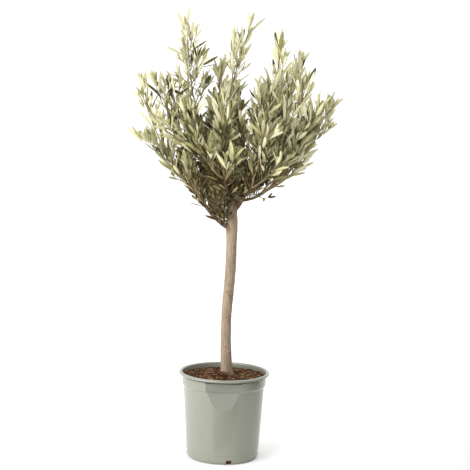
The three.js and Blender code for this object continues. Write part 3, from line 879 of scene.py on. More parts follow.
def pot_outline(wall):
    """The outline all round the shell, from the underside's middle over the lip to the floor's middle."""
    roll_height = POT_HEIGHT - LIP_ROLL
    inner_radius = BAND_TOP_RADIUS - wall
    outside = wall_corners(0) + [(BAND_TOP_RADIUS - UNDERCUT, roll_height - UNDERCUT / 4)]
    roll = arc((LIP_RADIUS - LIP_ROLL, roll_height), LIP_ROLL, -LIP_CURL, math.pi / 2, LIP_STEPS)
    inner_roll = arc((inner_radius + LIP_ROLL, roll_height), LIP_ROLL, math.pi / 2, math.pi, INNER_LIP_STEPS)
    inside = list(reversed(wall_corners(wall)))
    # From the body's top on, the band's foot and head are rounded. The band's rings lie close together,
    # so that the edge of the painted shade under the lip runs level.
    upper = rounded(outside[-3:] + roll[:1], EDGE_ROUND)
    foot_end = ROUND_STEPS + 1
    body = subdivided(outside[:-3] + upper[:foot_end + 1], POT_STRETCH)
    band = subdivided(upper[foot_end:], BAND_STRETCH)[1:]
    inner_band = subdivided([inner_roll[-1], inside[0]], BAND_STRETCH)[1:]
    return body + band + roll[1:] + inner_roll + inner_band + subdivided(inside, POT_STRETCH)[1:]


def panel_distance(height):
    """How far from the axis the flat front lies at this height."""
    heights, distances = zip(*PANEL)
    return float(np.interp(height, heights, distances))


def flatten_front(pot, wall):
    """Cuts the outline of the flat into the front, and moves what stands outside it onto it."""
    deselect()
    bpy.context.view_layer.objects.active = pot
    for (low, low_distance), (high, high_distance) in zip(PANEL, PANEL[1:]):
        for inwards in (0, wall):
            for parts in (pot.data.vertices, pot.data.edges):
                parts.foreach_set("select", [False] * len(parts))
            for face in pot.data.polygons:
                middle = face.center
                outer = face.normal.y < 0
                face.select = middle.y < 0 and low < middle.z < high and outer == (inwards == 0)
            bpy.ops.object.mode_set(mode="EDIT")
            slope = Vector((0, low_distance - high_distance, high - low)).normalized()
            across = Vector((1, 0, 0)).cross(slope)
            bpy.ops.mesh.bisect(plane_co=(0, inwards - low_distance, low), plane_no=across, threshold=NEAR)
            bpy.ops.object.mode_set(mode="OBJECT")
    for vertex in pot.data.vertices:
        place = vertex.co
        inner = place.xy.length < wall_radius(place.z) - wall / 2
        limit = panel_distance(place.z) - (wall if inner else 0)
        top = PANEL_TOP + (wall if inner else PANEL_SLACK)
        if PANEL_FOOT <= place.z <= top and -place.y > limit:
            place.y = -limit


def cut_slots(pot):
    """Cuts the drain slots through the foot of the wall."""
    for slot in range(SLOT_COUNT):
        deselect()
        bearing = math.radians(FIRST_SLOT_BEARING + slot * 360 / SLOT_COUNT)
        middle = (LIP_RADIUS + SLOT_INNER_END) / 2
        bpy.ops.mesh.primitive_cube_add(
            location=(middle * math.cos(bearing), middle * math.sin(bearing), 0),
            rotation=(0, 0, bearing),
            scale=((LIP_RADIUS - SLOT_INNER_END) / 2, SLOT_WIDTH / 2, SLOT_HEIGHT),
        )
        cutter = start_piece("slot_cutter")
        bpy.ops.mesh.bevel(offset=SLOT_ROUND, segments=SLOT_ROUND_STEPS, affect="EDGES")
        bpy.ops.object.mode_set(mode="OBJECT")
        add_modifier(pot, "BOOLEAN", operation="DIFFERENCE", solver="EXACT", object=cutter)
        apply_modifiers(pot)
        bpy.data.objects.remove(cutter)


def deal_out_finishes(pot):
    """Gives the flat front a darker copy of the plastic as painted shade, and the groove under the lip a dark
    band of painted shade.
    """
    for face in pot.data.polygons:
        middle = face.center
        near_panel = abs(panel_distance(middle.z) + middle.y) < ON_PANEL
        on_panel = PANEL_FOOT < middle.z < PANEL_TOP and near_panel
        # Faces in the groove under the lip take a dark band of painted shade.
        lip_shade_foot = UNDER_LIP - (LIP_SHADE_DEPTH_ON_FLAT if on_panel else LIP_SHADE_DEPTH)
        in_lip_shade = middle.xy.length < BAND_TOP_RADIUS and lip_shade_foot < middle.z < UNDER_LIP + LIP_SHADE_HEAD
        if in_lip_shade and face.normal.xy.dot(middle.xy) > 0:
            face.material_index = LIP_PAINTED_SHADE
        else:
            # The flat front's faces that look ahead take a darker copy of the plastic, as painted shade.
            looks_ahead = on_panel and face.normal.y < FACING_FRONT
            face.material_index = PANEL_SHADED_PLASTIC if looks_ahead else PLASTIC


# Soil


def soil_outline(wall):
    """The root ball's outline from the floor up the wall, then over the top in close rings."""
    gap = wall + SOIL_GAP
    edge = wall_radius(SOIL_EDGE) - gap
    outline = subdivided(wall_corners(gap) + [(edge, SOIL_EDGE)], SOIL_STRETCH)
    for ring in range(1, SOIL_RINGS + 1):
        radius = edge * (1 - ring / SOIL_RINGS)
        outline.append((radius, SOIL_TOP - (SOIL_TOP - SOIL_EDGE) * (radius / edge) ** 2))
    return outline


def draw_in_top(place, wall):
    """Draws a point of the soil's top inwards, so that its rings lie closer behind the flat front."""
    if place.z < SOIL_EDGE - NEAR or place.y > -NEAR:
        return
    edge = wall_radius(SOIL_EDGE) - wall - SOIL_GAP
    reach = (panel_distance(SOIL_EDGE) - wall - SOIL_GAP) * place.xy.length / -place.y
    place.xy *= min(1, reach / edge)


def roughen(place, clod):
    """Raises a point of the soil's top to a crumb or lowers it to a hollow, less so near the wall."""
    if place.z < SOIL_EDGE - NEAR:
        return
    radius = math.hypot(place.x, place.y)
    lumps = noise.fractal(place * LUMPS[0], *LUMP_NOISE) * LUMPS[1]
    fine = noise.noise(place * FINE_CRUMBS[0]) * FINE_CRUMBS[1]
    coarse = abs(noise.noise(place * COARSE_CRUMBS[0])) * COARSE_CRUMBS[1]
    calm = min(1, max(CALMEST, (CALM_RADIUS - radius) / CALM_WIDTH))
    place.z += clod * (lumps + (fine + coarse) - SOIL_SINK) * calm
    middle, heap_radius, height = HEAP
    place.z += height * math.exp(-((place.xy - middle).length_squared) / heap_radius**2)


def clear_panel(place, wall):
    """Moves a point of the soil off the flat front."""
    if PANEL_FOOT <= place.z <= PANEL_TOP:
        place.y = max(place.y, -(panel_distance(place.z) - wall - SOIL_GAP))


def strewn_line(surface, steps, length, thick, furthest_curl, keys):
    """The line of a chip or fibre that lies on the soil, or None where it would reach the wall."""
    radius = STREWN_RADIUS * math.sqrt(between(STREWN_MIDDLE, 1, *keys, FOR_STREWN["radius"]))
    bearing = between(0, 2 * math.pi, *keys, FOR_STREWN["bearing"])
    above = Vector((radius * math.cos(bearing), radius * math.sin(bearing), STREWN_FROM))
    place = surface.ray_cast(above, -UP)[0]
    if place is None:
        return None
    way = between(0, 2 * math.pi, *keys, FOR_STREWN["way"])
    curl = between(-furthest_curl, furthest_curl, *keys, FOR_STREWN["curl"])
    tilt = between(*STREWN_TILTS, *keys, FOR_STREWN["tilt"])
    line = [place + Vector((0, 0, thick * STREWN_LIFT))]
    for step in range(steps):
        turn = way + curl * step / steps
        ahead = Vector((math.cos(turn), math.sin(turn), tilt * math.cos(math.pi * step / steps)))
        line.append(line[-1] + ahead * (length / steps))
    inside = all(math.hypot(point.x, point.y) < STREWN_LIMIT and point.y > STREWN_FRONT for point in line)
    return line if inside else None


def strew(kind, count, surface):
    """Bark chips or curly fibres in one piece, strewn over the soil."""
    sides, steps, lengths, thicknesses, furthest_curl, leaning, own = STREWN[kind]
    points, faces, tint_of = [], [], []
    for number in range(count):
        keys = (number, own)
        length = between(*lengths, *keys, FOR_STREWN["length"])
        thick = between(*thicknesses, *keys, FOR_STREWN["thick"])
        line = strewn_line(surface, steps, length, thick, furthest_curl, keys)
        if line is None:
            continue
        ends, middle = STREWN_RADII
        radii = [thick * (ends + middle * math.sin(math.pi * step / steps)) for step in range(steps + 1)]
        before = len(faces)
        tube_into(points, faces, line, radii, sides, STREWN_FLATNESS)
        tint = int(len(STREWN_TINTS) * chance(*keys, FOR_STREWN["tint"]) ** leaning)
        tint_of += [tint] * (len(faces) - before)
    piece = mesh_piece(f"soil_{kind}", points, faces, smooth=False)
    for tint, colour in STREWN_TINTS.items():
        piece.data.materials.append(plain_material(f"soil_{kind}_{tint}", linear(colour), roughness=0.9))
    piece.data.polygons.foreach_set("material_index", tint_of)
    return piece


# Bark


def limb_curve(name, limb):
    """A closed tube of the limb's radius along its line."""
    data = bpy.data.curves.new(name, "CURVE")
    data.dimensions = "3D"
    data.bevel_depth = 1.0
    data.bevel_resolution = BOUGH_ROUNDNESS
    data.use_fill_caps = True
    spline = data.splines.new("POLY")
    spline.points.add(len(limb.points) - 1)
    for point, place, share in zip(spline.points, limb.points, limb.shares):
        point.co = (*place, 1)
        point.radius = limb.radius(share)
    piece = bpy.data.objects.new(name, data)
    bpy.context.scene.collection.objects.link(piece)
    return piece


def points_on(limbs):
    """A search tree of the limbs' points, and the limb and share of its length for each."""
    tree = KDTree(sum(len(limb.points) for limb in limbs.values()))
    owners = []
    for name, limb in limbs.items():
        for place, share in zip(limb.points, limb.shares):
            tree.insert(place, len(owners))
            owners.append((name, share))
    tree.balance()
    return tree, owners


def scars_on(trunk):
    """The place, size and height of each scar on the trunk's surface."""
    scars = []
    for height, bearing, size, stand in SCARS:
        share = height / TRUNK_HEIGHT
        scars.append((trunk.at(share)[0] + heading(bearing, 0) * trunk.radius(share), size, stand))
    return scars


def scarring(place, scars):
    """How far the scars raise the bark at a place, and how dark they mark it."""
    rise, mark = 0.0, 0.0
    for centre, size, stand in scars:
        apart = place - centre
        apart.z *= SCAR_SQUASH
        far = apart.length / size
        if far < SCAR_REACH:
            rim = math.exp(-((far - SCAR_RIM[0]) ** 2) * SCAR_RIM[1])
            rise += stand * (rim - SCAR_HOLLOW[0] * math.exp(-(far**2) * SCAR_HOLLOW[1]))
            mark = max(mark, SCAR_MARK[0] * math.exp(-(far**2) * SCAR_MARK[1]))
    return rise, mark


def relieve_bark(piece, limbs, relief):
    """Gives the limbs their furrows, swellings and scars, and notes each point's scarring and how far it
    takes the boughs' darker bark, partly young and partly painted shade.
    """
    tree, owners = points_on(limbs)
    scars = scars_on(limbs["trunk"])
    foot = limbs["trunk"].points[0].z - BARK_FOOT
    marks, dark_bough = [], []
    mesh = piece.data
    normals = [vertex.normal.copy() for vertex in mesh.vertices]
    for vertex, normal in zip(mesh.vertices, normals):
        place = vertex.co.copy()
        name, share = owners[tree.find(place)[1]]
        limb = limbs[name]
        middle, _, across, away = limb.at(share)
        outwards = place - middle
        turn = math.atan2(outwards.dot(away), outwards.dot(across))
        along = share * limb.length
        radius = limb.radius(share)
        thick = min(1.0, radius / FULL_RELIEF)
        round_at = Vector((math.cos(turn), math.sin(turn), 0)) * radius
        furrow, fine, swell = (
            noise.noise(Vector((round_at.x * across_by, round_at.y * across_by, along * along_by + shift)))
            for across_by, along_by, shift in BARK_PATTERNS
        )
        crease = -max(0.0, FURROW_WIDTH - abs(furrow)) / FURROW_WIDTH
        heights = (share_of * part for share_of, part in zip(BARK_HEIGHTS, (crease, fine, swell)))
        rise = relief * thick * sum(heights)
        if name == "trunk":
            rise += radius * FLARE_DEPTH * (math.exp(-along / FLARE_HEIGHT) * math.cos(FLARE_LOBES * turn))
        mark = FURROW_MARK[0] * max(0.0, -crease - FURROW_MARK[1]) * thick
        scar_rise, scar_mark = scarring(place, scars)
        marks.append(min(1.0, max(mark, scar_mark)))
        dark_bough.append(0.0 if name == "trunk" else min(1.0, share * DARK_BOUGH_FROM))
        vertex.co = place + normal * (rise + scar_rise)
        vertex.co.z = max(vertex.co.z, foot)
    for name, values in (("scar", marks), ("young", dark_bough)):
        attribute = mesh.attributes.new(name, "FLOAT", "POINT")
        attribute.data.foreach_set("value", values)


# Foliage


class Growth:
    """What grows on one bough: tubes for the stems and twigs, and leaves."""

    def __init__(self):
        self.points, self.faces, self.leaves = [], [], []

    def add_stem(self, limb, sides):
        """Adds a stem or twig as a closed tube."""
        radii = [limb.radius(share) for share in limb.shares]
        tube_into(self.points, self.faces, limb.points, radii, sides)


def leaf_arrays(leaves, thickness):
    """The points, faces and finishes of all these leaves, and the number of points of one."""
    base, along, normal = (np.array([[*leaf[part]] for leaf in leaves]) for part in range(3))
    length, width, bend, fold = (np.array([leaf[part] for leaf in leaves])[:, None] for part in range(3, 7))
    tint = np.array([leaf[7] for leaf in leaves])
    across = np.cross(normal, along)
    shares, halves = (np.array(column) for column in zip(*LEAF_STATIONS))
    stations = len(shares)
    around = STATION_POINTS
    x = np.append(np.repeat(shares, around), 1.0)
    y = np.append((halves[:, None] * np.array(POINTS_LEFT)).ravel(), 0.0)
    half = np.append(np.repeat(halves, around), 0.0)
    above = np.append(np.tile(POINTS_UP, stations), 0.0)
    arch = x * x
    deep = above * thickness
    forwards = x * length - 0.5 * bend * bend * arch * x * length
    sidewards = y * width / 2
    upwards = -bend * arch * length + fold * (np.abs(y) - FOLD_LEVEL * half) * width / 2 + deep
    points = (
        base[:, None, :]
        + forwards[:, :, None] * along[:, None, :]
        + sidewards[:, :, None] * across[:, None, :]
        + upwards[:, :, None] * normal[:, None, :]
    )
    count = around * stations + 1
    template, is_upper = [], []
    for station in range(stations):
        first = around * station
        for side in range(around):
            low, beside = first + side, first + (side + 1) % around
            ahead = (beside + around, low + around) if station < stations - 1 else (count - 1,)
            template.append((low, beside, *ahead))
            is_upper.append(side in UPPER_FACES)
    template.append(tuple(reversed(range(around))))
    is_upper.append(False)
    faces, finishes = [], []
    for number in range(len(leaves)):
        first = number * count
        faces += [tuple(first + corner for corner in face) for face in template]
        finishes += [tint[number] * 2 + (0 if up else 1) for up in is_upper]
    return points.reshape(-1, 3), faces, finishes, count


def leaf_piece(name, leaves, thickness, materials):
    """Joins leaves into one piece, with the tints dealt out and the rim of each leaf kept sharp."""
    points, faces, finishes, count = leaf_arrays(leaves, thickness)
    piece = mesh_piece(name, points.tolist(), faces)
    mesh = piece.data
    for material in materials:
        mesh.materials.append(material)
    mesh.polygons.foreach_set("material_index", finishes)
    ends = np.empty(len(mesh.edges) * 2, np.int32)
    mesh.edges.foreach_get("vertices", ends)
    within = ends.reshape(-1, 2) % count
    side = within % STATION_POINTS
    is_tip = within == count - 1
    on_rim = np.isin(side, RIM_POINTS) & ~is_tip
    same_side = on_rim.all(1) & (side[:, 0] == side[:, 1])
    to_tip = (on_rim[:, 0] & is_tip[:, 1]) | (on_rim[:, 1] & is_tip[:, 0])
    sharp = mesh.attributes.new("sharp_edge", "BOOLEAN", "EDGE")
    sharp.data.foreach_set("value", same_side | to_tip)
    return piece


def face_turn(sides, face):
    """The turn to the middle of one of a limb's faces."""
    return (face + 0.5) * 2 * math.pi / sides


def light_at(place):
    """How much light reaches a place: none in the crown's core, all of it at the outside."""
    return min(FULL_LIGHT, max(0.0, ((place - CORE).length - CORE_RADIUS) / CORE_FADE))


def drawn_for(what, *keys):
    """What a single leaf draws from the range of this name."""
    return between(*LEAF_RANGES[what], *keys, FOR[what])


class Grower:
    """Grows the shoots by the rule."""

    def __init__(self, sizes):
        self.sizes = sizes
        self.openness = 1.0

    def leaf_on(self, growth, limb, share, turn, splay, size, tone, keys):
        """One leaf at a node, its upper side towards the limb's axis."""
        sizes = self.sizes
        place, axis, across, away = limb.at(share)
        splay *= drawn_for("splay", *keys)
        turn += drawn_for("turn", *keys)
        along = risen(splayed(axis, across, away, turn, splay))
        normal = (axis - along * along.dot(axis)).normalized()
        twist = sizes.twist * drawn_for("twist", *keys)
        normal = Quaternion(along, twist) @ normal
        length = sizes.leaf_length * size * drawn_for("size", *keys)
        width = sizes.leaf_width * mix(LEAF_NARROWING, size) * between(*LEAF_WIDTHS, *keys, FOR["size"], 1)
        outwards = (along - axis * axis.dot(along)).normalized()
        base = place + outwards * limb.radius(share) * LEAF_SEAT
        bend, fold = drawn_for("bend", *keys), drawn_for("fold", *keys)
        tone = self.own_tone(tone, base.z, chance(*keys, FOR["tint"], 2))
        growth.leaves.append((base, along, normal, length, width, bend, fold, tone))

    def own_tone(self, tone, height, drawn):
        """The tint of a single leaf: its spray's, or for a few of the outer ones a darker one."""
        if tone not in VARIED_TINTS:
            return tone
        fading = min(1, max(DARK_LEAF_LEAST, (DARK_LEAF_TOP - height) / DARK_LEAF_FADE))
        if drawn < self.sizes.green_leaves * fading:
            return GREEN
        return tone - 1 if drawn > 1 - self.sizes.duller_leaves else tone

    def tone(self, light, *keys):
        """Which tint a spray takes: darker inside and low down, paler and yellower towards the light."""
        drawn = light + between(-TINT_SCATTER, TINT_SCATTER, *keys, FOR["tint"])
        if light > GREEN_FROM and chance(*keys, FOR["tint"], 1) < self.sizes.green_sprays:
            return GREEN
        return bisect_left(TINT_LIMITS, drawn)

    def twig(self, growth, start, direction, length, radius, leaf_size, order, keys):
        """A side twig that curves up towards the light, with pairs of leaves and sometimes finer twigs."""
        steps = max(TWIG_LEAST_STEPS, round(length / TWIG_STEP))
        wander = wobble(*keys, FOR["wobble"]) * TWIG_WANDER
        line, ahead = [start], direction.normalized()
        for step in range(steps):
            kink = wobble(*keys, FOR["wobble"], first=FIRST_KINK + 3 * step) * TWIG_KINK
            ahead = (ahead + UP * (TWIG_RISE / steps) + wander * (1 / steps) + kink).normalized()
            line.append(line[-1] + ahead * (length / steps))
        side = direction.cross(UP)
        side = side.normalized() if side.length > UPRIGHT else Vector((1, 0, 0))
        limb = Limb(line, side, (radius, radius * TWIG_TAPER))
        growth.add_stem(limb, TWIG_TUBE_SIDES)
        light = light_at(line[-1])
        leaf_size *= mix((CORE_LEAF, 1), light)
        nodes = max(1, round(length / (self.sizes.twig_node_spacing * mix(SPACING_RANGE, leaf_size))))
        first = int(TWIG_SIDES * chance(*keys, FOR["face"]))
        tone = self.tone(light, *keys)
        for node in range(1, nodes + 1):
            share = LAST_NODE * node / nodes
            at_tip = node == nodes
            for pair in range(2):
                leaf_keys = (*keys, FOR["leaf"] + node, pair)
                turn = face_turn(TWIG_SIDES, first + node + pair * TWIG_SIDES // 2)
                may_branch = order < ORDERS and not at_tip and length > SHORTEST_WITH_FINER
                if may_branch and chance(*leaf_keys, FOR["kind"]) < self.sizes.finer_chance:
                    reach = length * between(*FINER_LENGTHS, *leaf_keys, FOR["length"])
                    if reach > SHORTEST_FINER:
                        self.finer_twig(growth, limb, share, turn, reach, leaf_size, order + 1, leaf_keys)
                        continue
                if not at_tip and chance(*leaf_keys, FOR["drop"]) < self.sizes.dropped * (1 - share):
                    continue
                splay = math.radians(LAST_LEAF_SPLAY if at_tip else LEAF_SPLAY) * self.openness
                fullness = math.sin(math.pi * min(1, mix(FULLNESS_ALONG, share)))
                size = leaf_size * mix(SIZE_ALONG, fullness)
                self.leaf_on(growth, limb, share, turn, splay, size, tone, leaf_keys)
        self.bud_leaves(growth, limb, leaf_size, tone, keys)

    def finer_twig(self, growth, limb, share, turn, reach, leaf_size, order, keys):
        """A finer twig in place of a leaf on a twig."""
        place, axis, across, away = limb.at(share)
        splay = math.radians(between(*FINER_SPLAYS, *keys, FOR["finer_splay"]))
        direction = risen(splayed(axis, across, away, turn, splay), FINER_PULL)
        radius = limb.radii[0] * FINER_RADIUS
        keys = (*keys, FOR["finer"])
        self.twig(growth, place, direction, reach, radius, leaf_size * FINER_LEAF, order, keys)

    def bud_leaves(self, growth, limb, leaf_size, tone, keys):
        """The youngest leaves, nearly straight on from the end."""
        splay, size = BUD_LEAF
        for pair in range(2):
            first = int(TWIG_SIDES * chance(*keys, FOR["face"], 1))
            turn = face_turn(TWIG_SIDES, first + pair * TWIG_SIDES // 2)
            bud_keys = (*keys, FOR["leaf"], pair)
            self.leaf_on(growth, limb, 1.0, turn, math.radians(splay), leaf_size * size, tone, bud_keys)

    def shoot(self, growth, own, root, bearing, lift, reach, rise, girth, leaf_size, root_radius):
        """One whole shoot, from its bough to its tip."""
        sizes = self.sizes
        frame_length = (reach - FRAME_LEAF * leaf_size * TIP_REACH) / LAST_NODE
        length = reach - sizes.leaf_length * leaf_size * TIP_LEAF_REACH
        steps = max(STEM_LEAST_STEPS, round(length / STEM_STEP))
        line = bent_line(root, bearing, lift, rise, length, steps)
        for step in range(2, steps + 1):
            line[step] = line[step] + wobble(own, FOR["wobble"], step // 2) * STEM_SWAY
        stem = Limb(line, heading(bearing - 90, 0), (root_radius, sizes.stem_tip))
        growth.add_stem(stem, STEM_TUBE_SIDES)
        frame_nodes = math.floor(frame_length * (1 - FIRST_NODE) / (NODE_SPACING * leaf_size))
        finer = sizes.finer_nodes
        spacing = frame_length * (1 - FIRST_NODE) / frame_nodes / finer
        nodes = math.floor((length - FIRST_NODE * frame_length) / spacing)
        for node in range(nodes + 1):
            share = min(1, (FIRST_NODE * frame_length + node * spacing) / length)
            place, axis, across, away = stem.at(share)
            splay = math.radians(mix(TWIG_SPLAY, share) * sizes.closeness) * self.openness
            of_frame = node % finer == 0
            light = light_at(place)
            tone = self.tone(light, own, node // SPRAY_NODES)
            odds = TWIG_CHANCE if of_frame else sizes.between_chance
            if light < SHADED:
                odds = SHADED_TWIG_CHANCE
            for side in range(2):
                keys = (own, node // finer, side) if of_frame else (own, node, side, FOR["finer"])
                turn = face_turn(STEM_SIDES, node // finer + side * STEM_SIDES // 2)
                turn += 0 if of_frame else math.pi / 2
                twig_length = girth * math.sqrt(1 - share) * between(*TWIG_LENGTHS, *keys, FOR["length"])
                twig_length *= sizes.reach
                if twig_length > SHORTEST_TWIG and chance(*keys, FOR["kind"]) < odds:
                    direction = risen(splayed(axis, across, away, turn, splay))
                    radius = min(stem.radius(share) * TWIG_ON_STEM, THICKEST_TWIG)
                    size = leaf_size * TWIG_LEAF
                    self.twig(growth, place, direction, twig_length, radius, size, order=1, keys=keys)
                elif of_frame and chance(*keys, FOR["drop"]) > sizes.dropped * (1 - share):
                    size = leaf_size * mix((CORE_LEAF, 1), light)
                    self.leaf_on(growth, stem, share, turn, splay, size, tone, keys)
        tone = self.tone(FULL_LIGHT, own, nodes)
        splay, size = math.radians(TIP_LEAF[0]), leaf_size * TIP_LEAF[1]
        for side in range(2):
            turn = face_turn(STEM_SIDES, frame_nodes + side * STEM_SIDES // 2)
            self.leaf_on(growth, stem, 1.0, turn, splay, size, tone, (own, frame_nodes, side))
        self.bud_leaves(growth, stem, leaf_size, tone, (own, FOR["leaf"]))

    def bough_twigs(self, growth, number, limb, hanging_from, clothed):
        """Short, shaded twigs on a bough, with small old leaves."""
        nodes = round(limb.length / BOUGH_TWIG_SPACING)
        for node in range(nodes):
            share = BOUGH_TWIGS_FROM + (1 - BOUGH_TWIGS_FROM) * node / nodes
            hanging = share >= hanging_from
            place, axis, across, away = limb.at(share)
            for side in range(2):
                keys = (number, node, side, FOR["bough"])
                if chance(*keys, FOR["kind"]) > self.sizes.bough_twig_chance:
                    continue
                turn = between(0, 2 * math.pi, *keys, FOR["turn"])
                splay = math.radians(BOUGH_TWIG_SPLAY)
                direction = splayed(axis, across, away, turn, splay)
                if direction.z < LOWEST_HEADING and not hanging:
                    direction = splayed(axis, across, away, turn + math.pi, splay)
                direction = risen(direction, 0 if hanging else BOUGH_TWIG_PULL)
                longest = HANGING_LONGEST if hanging else BOUGH_TWIG_LONGEST
                length = between(BOUGH_TWIG_SHORTEST, longest, *keys, FOR["length"])
                sizes = {"radius": BOUGH_TWIG_RADIUS, "leaf_size": 1, "order": 1}
                self.twig(growth, place, direction, length, keys=keys, **sizes)
                if clothed:
                    turn = between(0, 2 * math.pi, *keys, FOR["turn"], 1)
                    splay = math.radians(BOUGH_LEAF_SPLAY)
                    self.leaf_on(growth, limb, share, turn, splay, CORE_LEAF, SHADE, (*keys, FOR["leaf"]))


# Settings

LENGTH = {"subtype": "DISTANCE", "unit": "LENGTH"}
ANGLE = {"subtype": "ANGLE", "unit": "ROTATION"}
SHARE = {"subtype": "FACTOR", "min": 0, "max": 1}
COLOUR = {"subtype": "COLOR", "size": 3, "min": 0, "max": 1}


class OlivePotSettings(bpy.types.PropertyGroup):
    """Sizes and finish of the pot."""

    wall: bpy.props.FloatProperty(
        name="Wall", description="Thickness of the pot's wall", default=0.0018, min=0.001, max=0.004, **LENGTH
    )
    segments: bpy.props.IntProperty(
        name="Segments", description="Straight steps round the pot", default=160, min=48, max=256
    )
    colour: bpy.props.FloatVectorProperty(
        name="Colour", description="Colour of the plastic", default=linear((129, 131, 118)), **COLOUR
    )
    roughness: bpy.props.FloatProperty(
        name="Roughness", description="How dull the plastic is", default=0.17, **SHARE
    )
    # How much darker the flat front is painted, as painted shade.
    painted_panel_shade: bpy.props.FloatProperty(
        name="Panel shade", description="Brightness of the flat front, as a share of the rest",
        default=0.86, **SHARE
    )


class OliveSoilSettings(bpy.types.PropertyGroup):
    """The potting mix and what lies on it."""

    clod: bpy.props.FloatProperty(
        name="Clod height", description="How uneven the top of the soil is",
        default=0.0052, min=0, max=0.01, **LENGTH
    )
    chips: bpy.props.IntProperty(
        name="Chips", description="Number of bark chips on the soil", default=300, min=0, max=2000
    )
    fibres: bpy.props.IntProperty(
        name="Fibres", description="Number of curly fibres on the soil", default=460, min=0, max=2000
    )
    dark: bpy.props.FloatVectorProperty(
        name="Dark colour", description="Colour of the damp mix", default=linear((54, 31, 18)), **COLOUR
    )
    red: bpy.props.FloatVectorProperty(
        name="Red colour", description="Colour of the coarse crumbs", default=linear((98, 62, 38)), **COLOUR
    )


class OliveBarkSettings(bpy.types.PropertyGroup):
    """The trunk's, boughs' and twigs' bark."""

    relief: bpy.props.FloatProperty(
        name="Relief", description="Depth of the furrows", default=0.0006, min=0, max=0.002, **LENGTH
    )
    grain: bpy.props.FloatProperty(
        name="Mesh grain", description="Width of the mesh's faces",
        default=0.0011, min=0.0006, max=0.003, **LENGTH
    )
    pale: bpy.props.FloatVectorProperty(
        name="Pale colour", description="Colour of the bark's ridges",
        default=linear((148, 131, 110)), **COLOUR
    )
    dark: bpy.props.FloatVectorProperty(
        name="Dark colour", description="Colour of the bark's furrows",
        default=linear((126, 107, 87)), **COLOUR
    )
    # The boughs' colour is darker than the trunk's and the twigs', partly as young bark and partly as painted
    # shade.
    bough: bpy.props.FloatVectorProperty(
        name="Bough colour", description="Colour of the boughs' bark", default=linear((90, 72, 50)), **COLOUR
    )
    young: bpy.props.FloatVectorProperty(
        name="Young colour", description="Colour of the twigs", default=linear((132, 116, 80)), **COLOUR
    )


class OliveLeafSettings(bpy.types.PropertyGroup):
    """How the shoots branch, and the leaves' sizes and tints."""

    leaf_length: bpy.props.FloatProperty(
        name="Leaf length", description="Length of a full-grown leaf with its stalk",
        default=0.058, min=0.02, max=0.09, **LENGTH
    )
    leaf_width: bpy.props.FloatProperty(
        name="Leaf width", description="Width of a full-grown leaf",
        default=0.0086, min=0.004, max=0.02, **LENGTH
    )
    leaf_thickness: bpy.props.FloatProperty(
        name="Leaf thickness", description="Thickness of a leaf at its midrib",
        default=0.0006, min=0.0001, max=0.002, **LENGTH
    )
    twist: bpy.props.FloatProperty(
        name="Twist", description="How far leaves turn about their own length",
        default=math.radians(55), min=0, max=math.pi, **ANGLE
    )
    closeness: bpy.props.FloatProperty(
        name="Closeness", description="How far twigs and leaves stand off, as a share of the frame's",
        default=0.66, min=0.2, max=1.5, subtype="FACTOR"
    )
    reach: bpy.props.FloatProperty(
        name="Twig reach", description="Length of side twigs, as a share of the frame's",
        default=1.7, min=0.5, max=2, subtype="FACTOR"
    )
    stem_tip: bpy.props.FloatProperty(
        name="Stem tip", description="Radius of a shoot at its end",
        default=0.0008, min=0.0003, max=0.002, **LENGTH
    )
    finer_nodes: bpy.props.IntProperty(
        name="Finer nodes", description="Nodes on a stem for each one in the frame", default=2, min=1, max=4
    )
    between_chance: bpy.props.FloatProperty(
        name="Twigs between", description="Share of the added nodes that carry a twig", default=0.6, **SHARE
    )
    finer_chance: bpy.props.FloatProperty(
        name="Finer twigs", description="Share of a twig's nodes that carry a finer twig",
        default=0.25, **SHARE
    )
    bough_twig_chance: bpy.props.FloatProperty(
        name="Bough twigs", description="Share of places on a bough with a short twig", default=0.85, **SHARE
    )
    dropped: bpy.props.FloatProperty(
        name="Dropped leaves", description="Share of the oldest leaves that have dropped",
        default=0.28, **SHARE
    )
    twig_node_spacing: bpy.props.FloatProperty(
        name="Twig node spacing", description="Distance between pairs of leaves on a twig",
        default=0.0205, min=0.004, max=0.03, **LENGTH
    )
    green_sprays: bpy.props.FloatProperty(
        name="Green sprays", description="Share of the outer sprays with dark green leaves",
        default=0.08, **SHARE
    )
    green_leaves: bpy.props.FloatProperty(
        name="Green leaves", description="Share of the other outer leaves that are dark green",
        default=0.15, **SHARE
    )
    duller_leaves: bpy.props.FloatProperty(
        name="Duller leaves", description="Share of the outer leaves that are a tint darker",
        default=0.16, **SHARE
    )
    upper_green: bpy.props.FloatVectorProperty(
        name="Green upper side", description="Upper side of dark green leaves",
        default=linear((60, 62, 27)), **COLOUR
    )
    under_green: bpy.props.FloatVectorProperty(
        name="Green underside", description="Underside of dark green leaves",
        default=linear((136, 134, 88)), **COLOUR
    )
    upper_shade: bpy.props.FloatVectorProperty(
        name="Shaded upper side", description="Upper side of old leaves in the shade",
        default=linear((78, 68, 40)), **COLOUR
    )
    upper: bpy.props.FloatVectorProperty(
        name="Upper side", description="Upper side of most leaves", default=linear((160, 155, 110)), **COLOUR
    )
    upper_young: bpy.props.FloatVectorProperty(
        name="Young upper side", description="Upper side of leaves in full light",
        default=linear((190, 186, 141)), **COLOUR
    )
    under_shade: bpy.props.FloatVectorProperty(
        name="Shaded underside", description="Underside of old leaves in the shade",
        default=linear((144, 132, 93)), **COLOUR
    )
    under: bpy.props.FloatVectorProperty(
        name="Underside", description="Underside of most leaves", default=linear((206, 202, 161)), **COLOUR
    )
    under_young: bpy.props.FloatVectorProperty(
        name="Young underside", description="Underside of leaves in full light",
        default=linear((204, 202, 168)), **COLOUR
    )


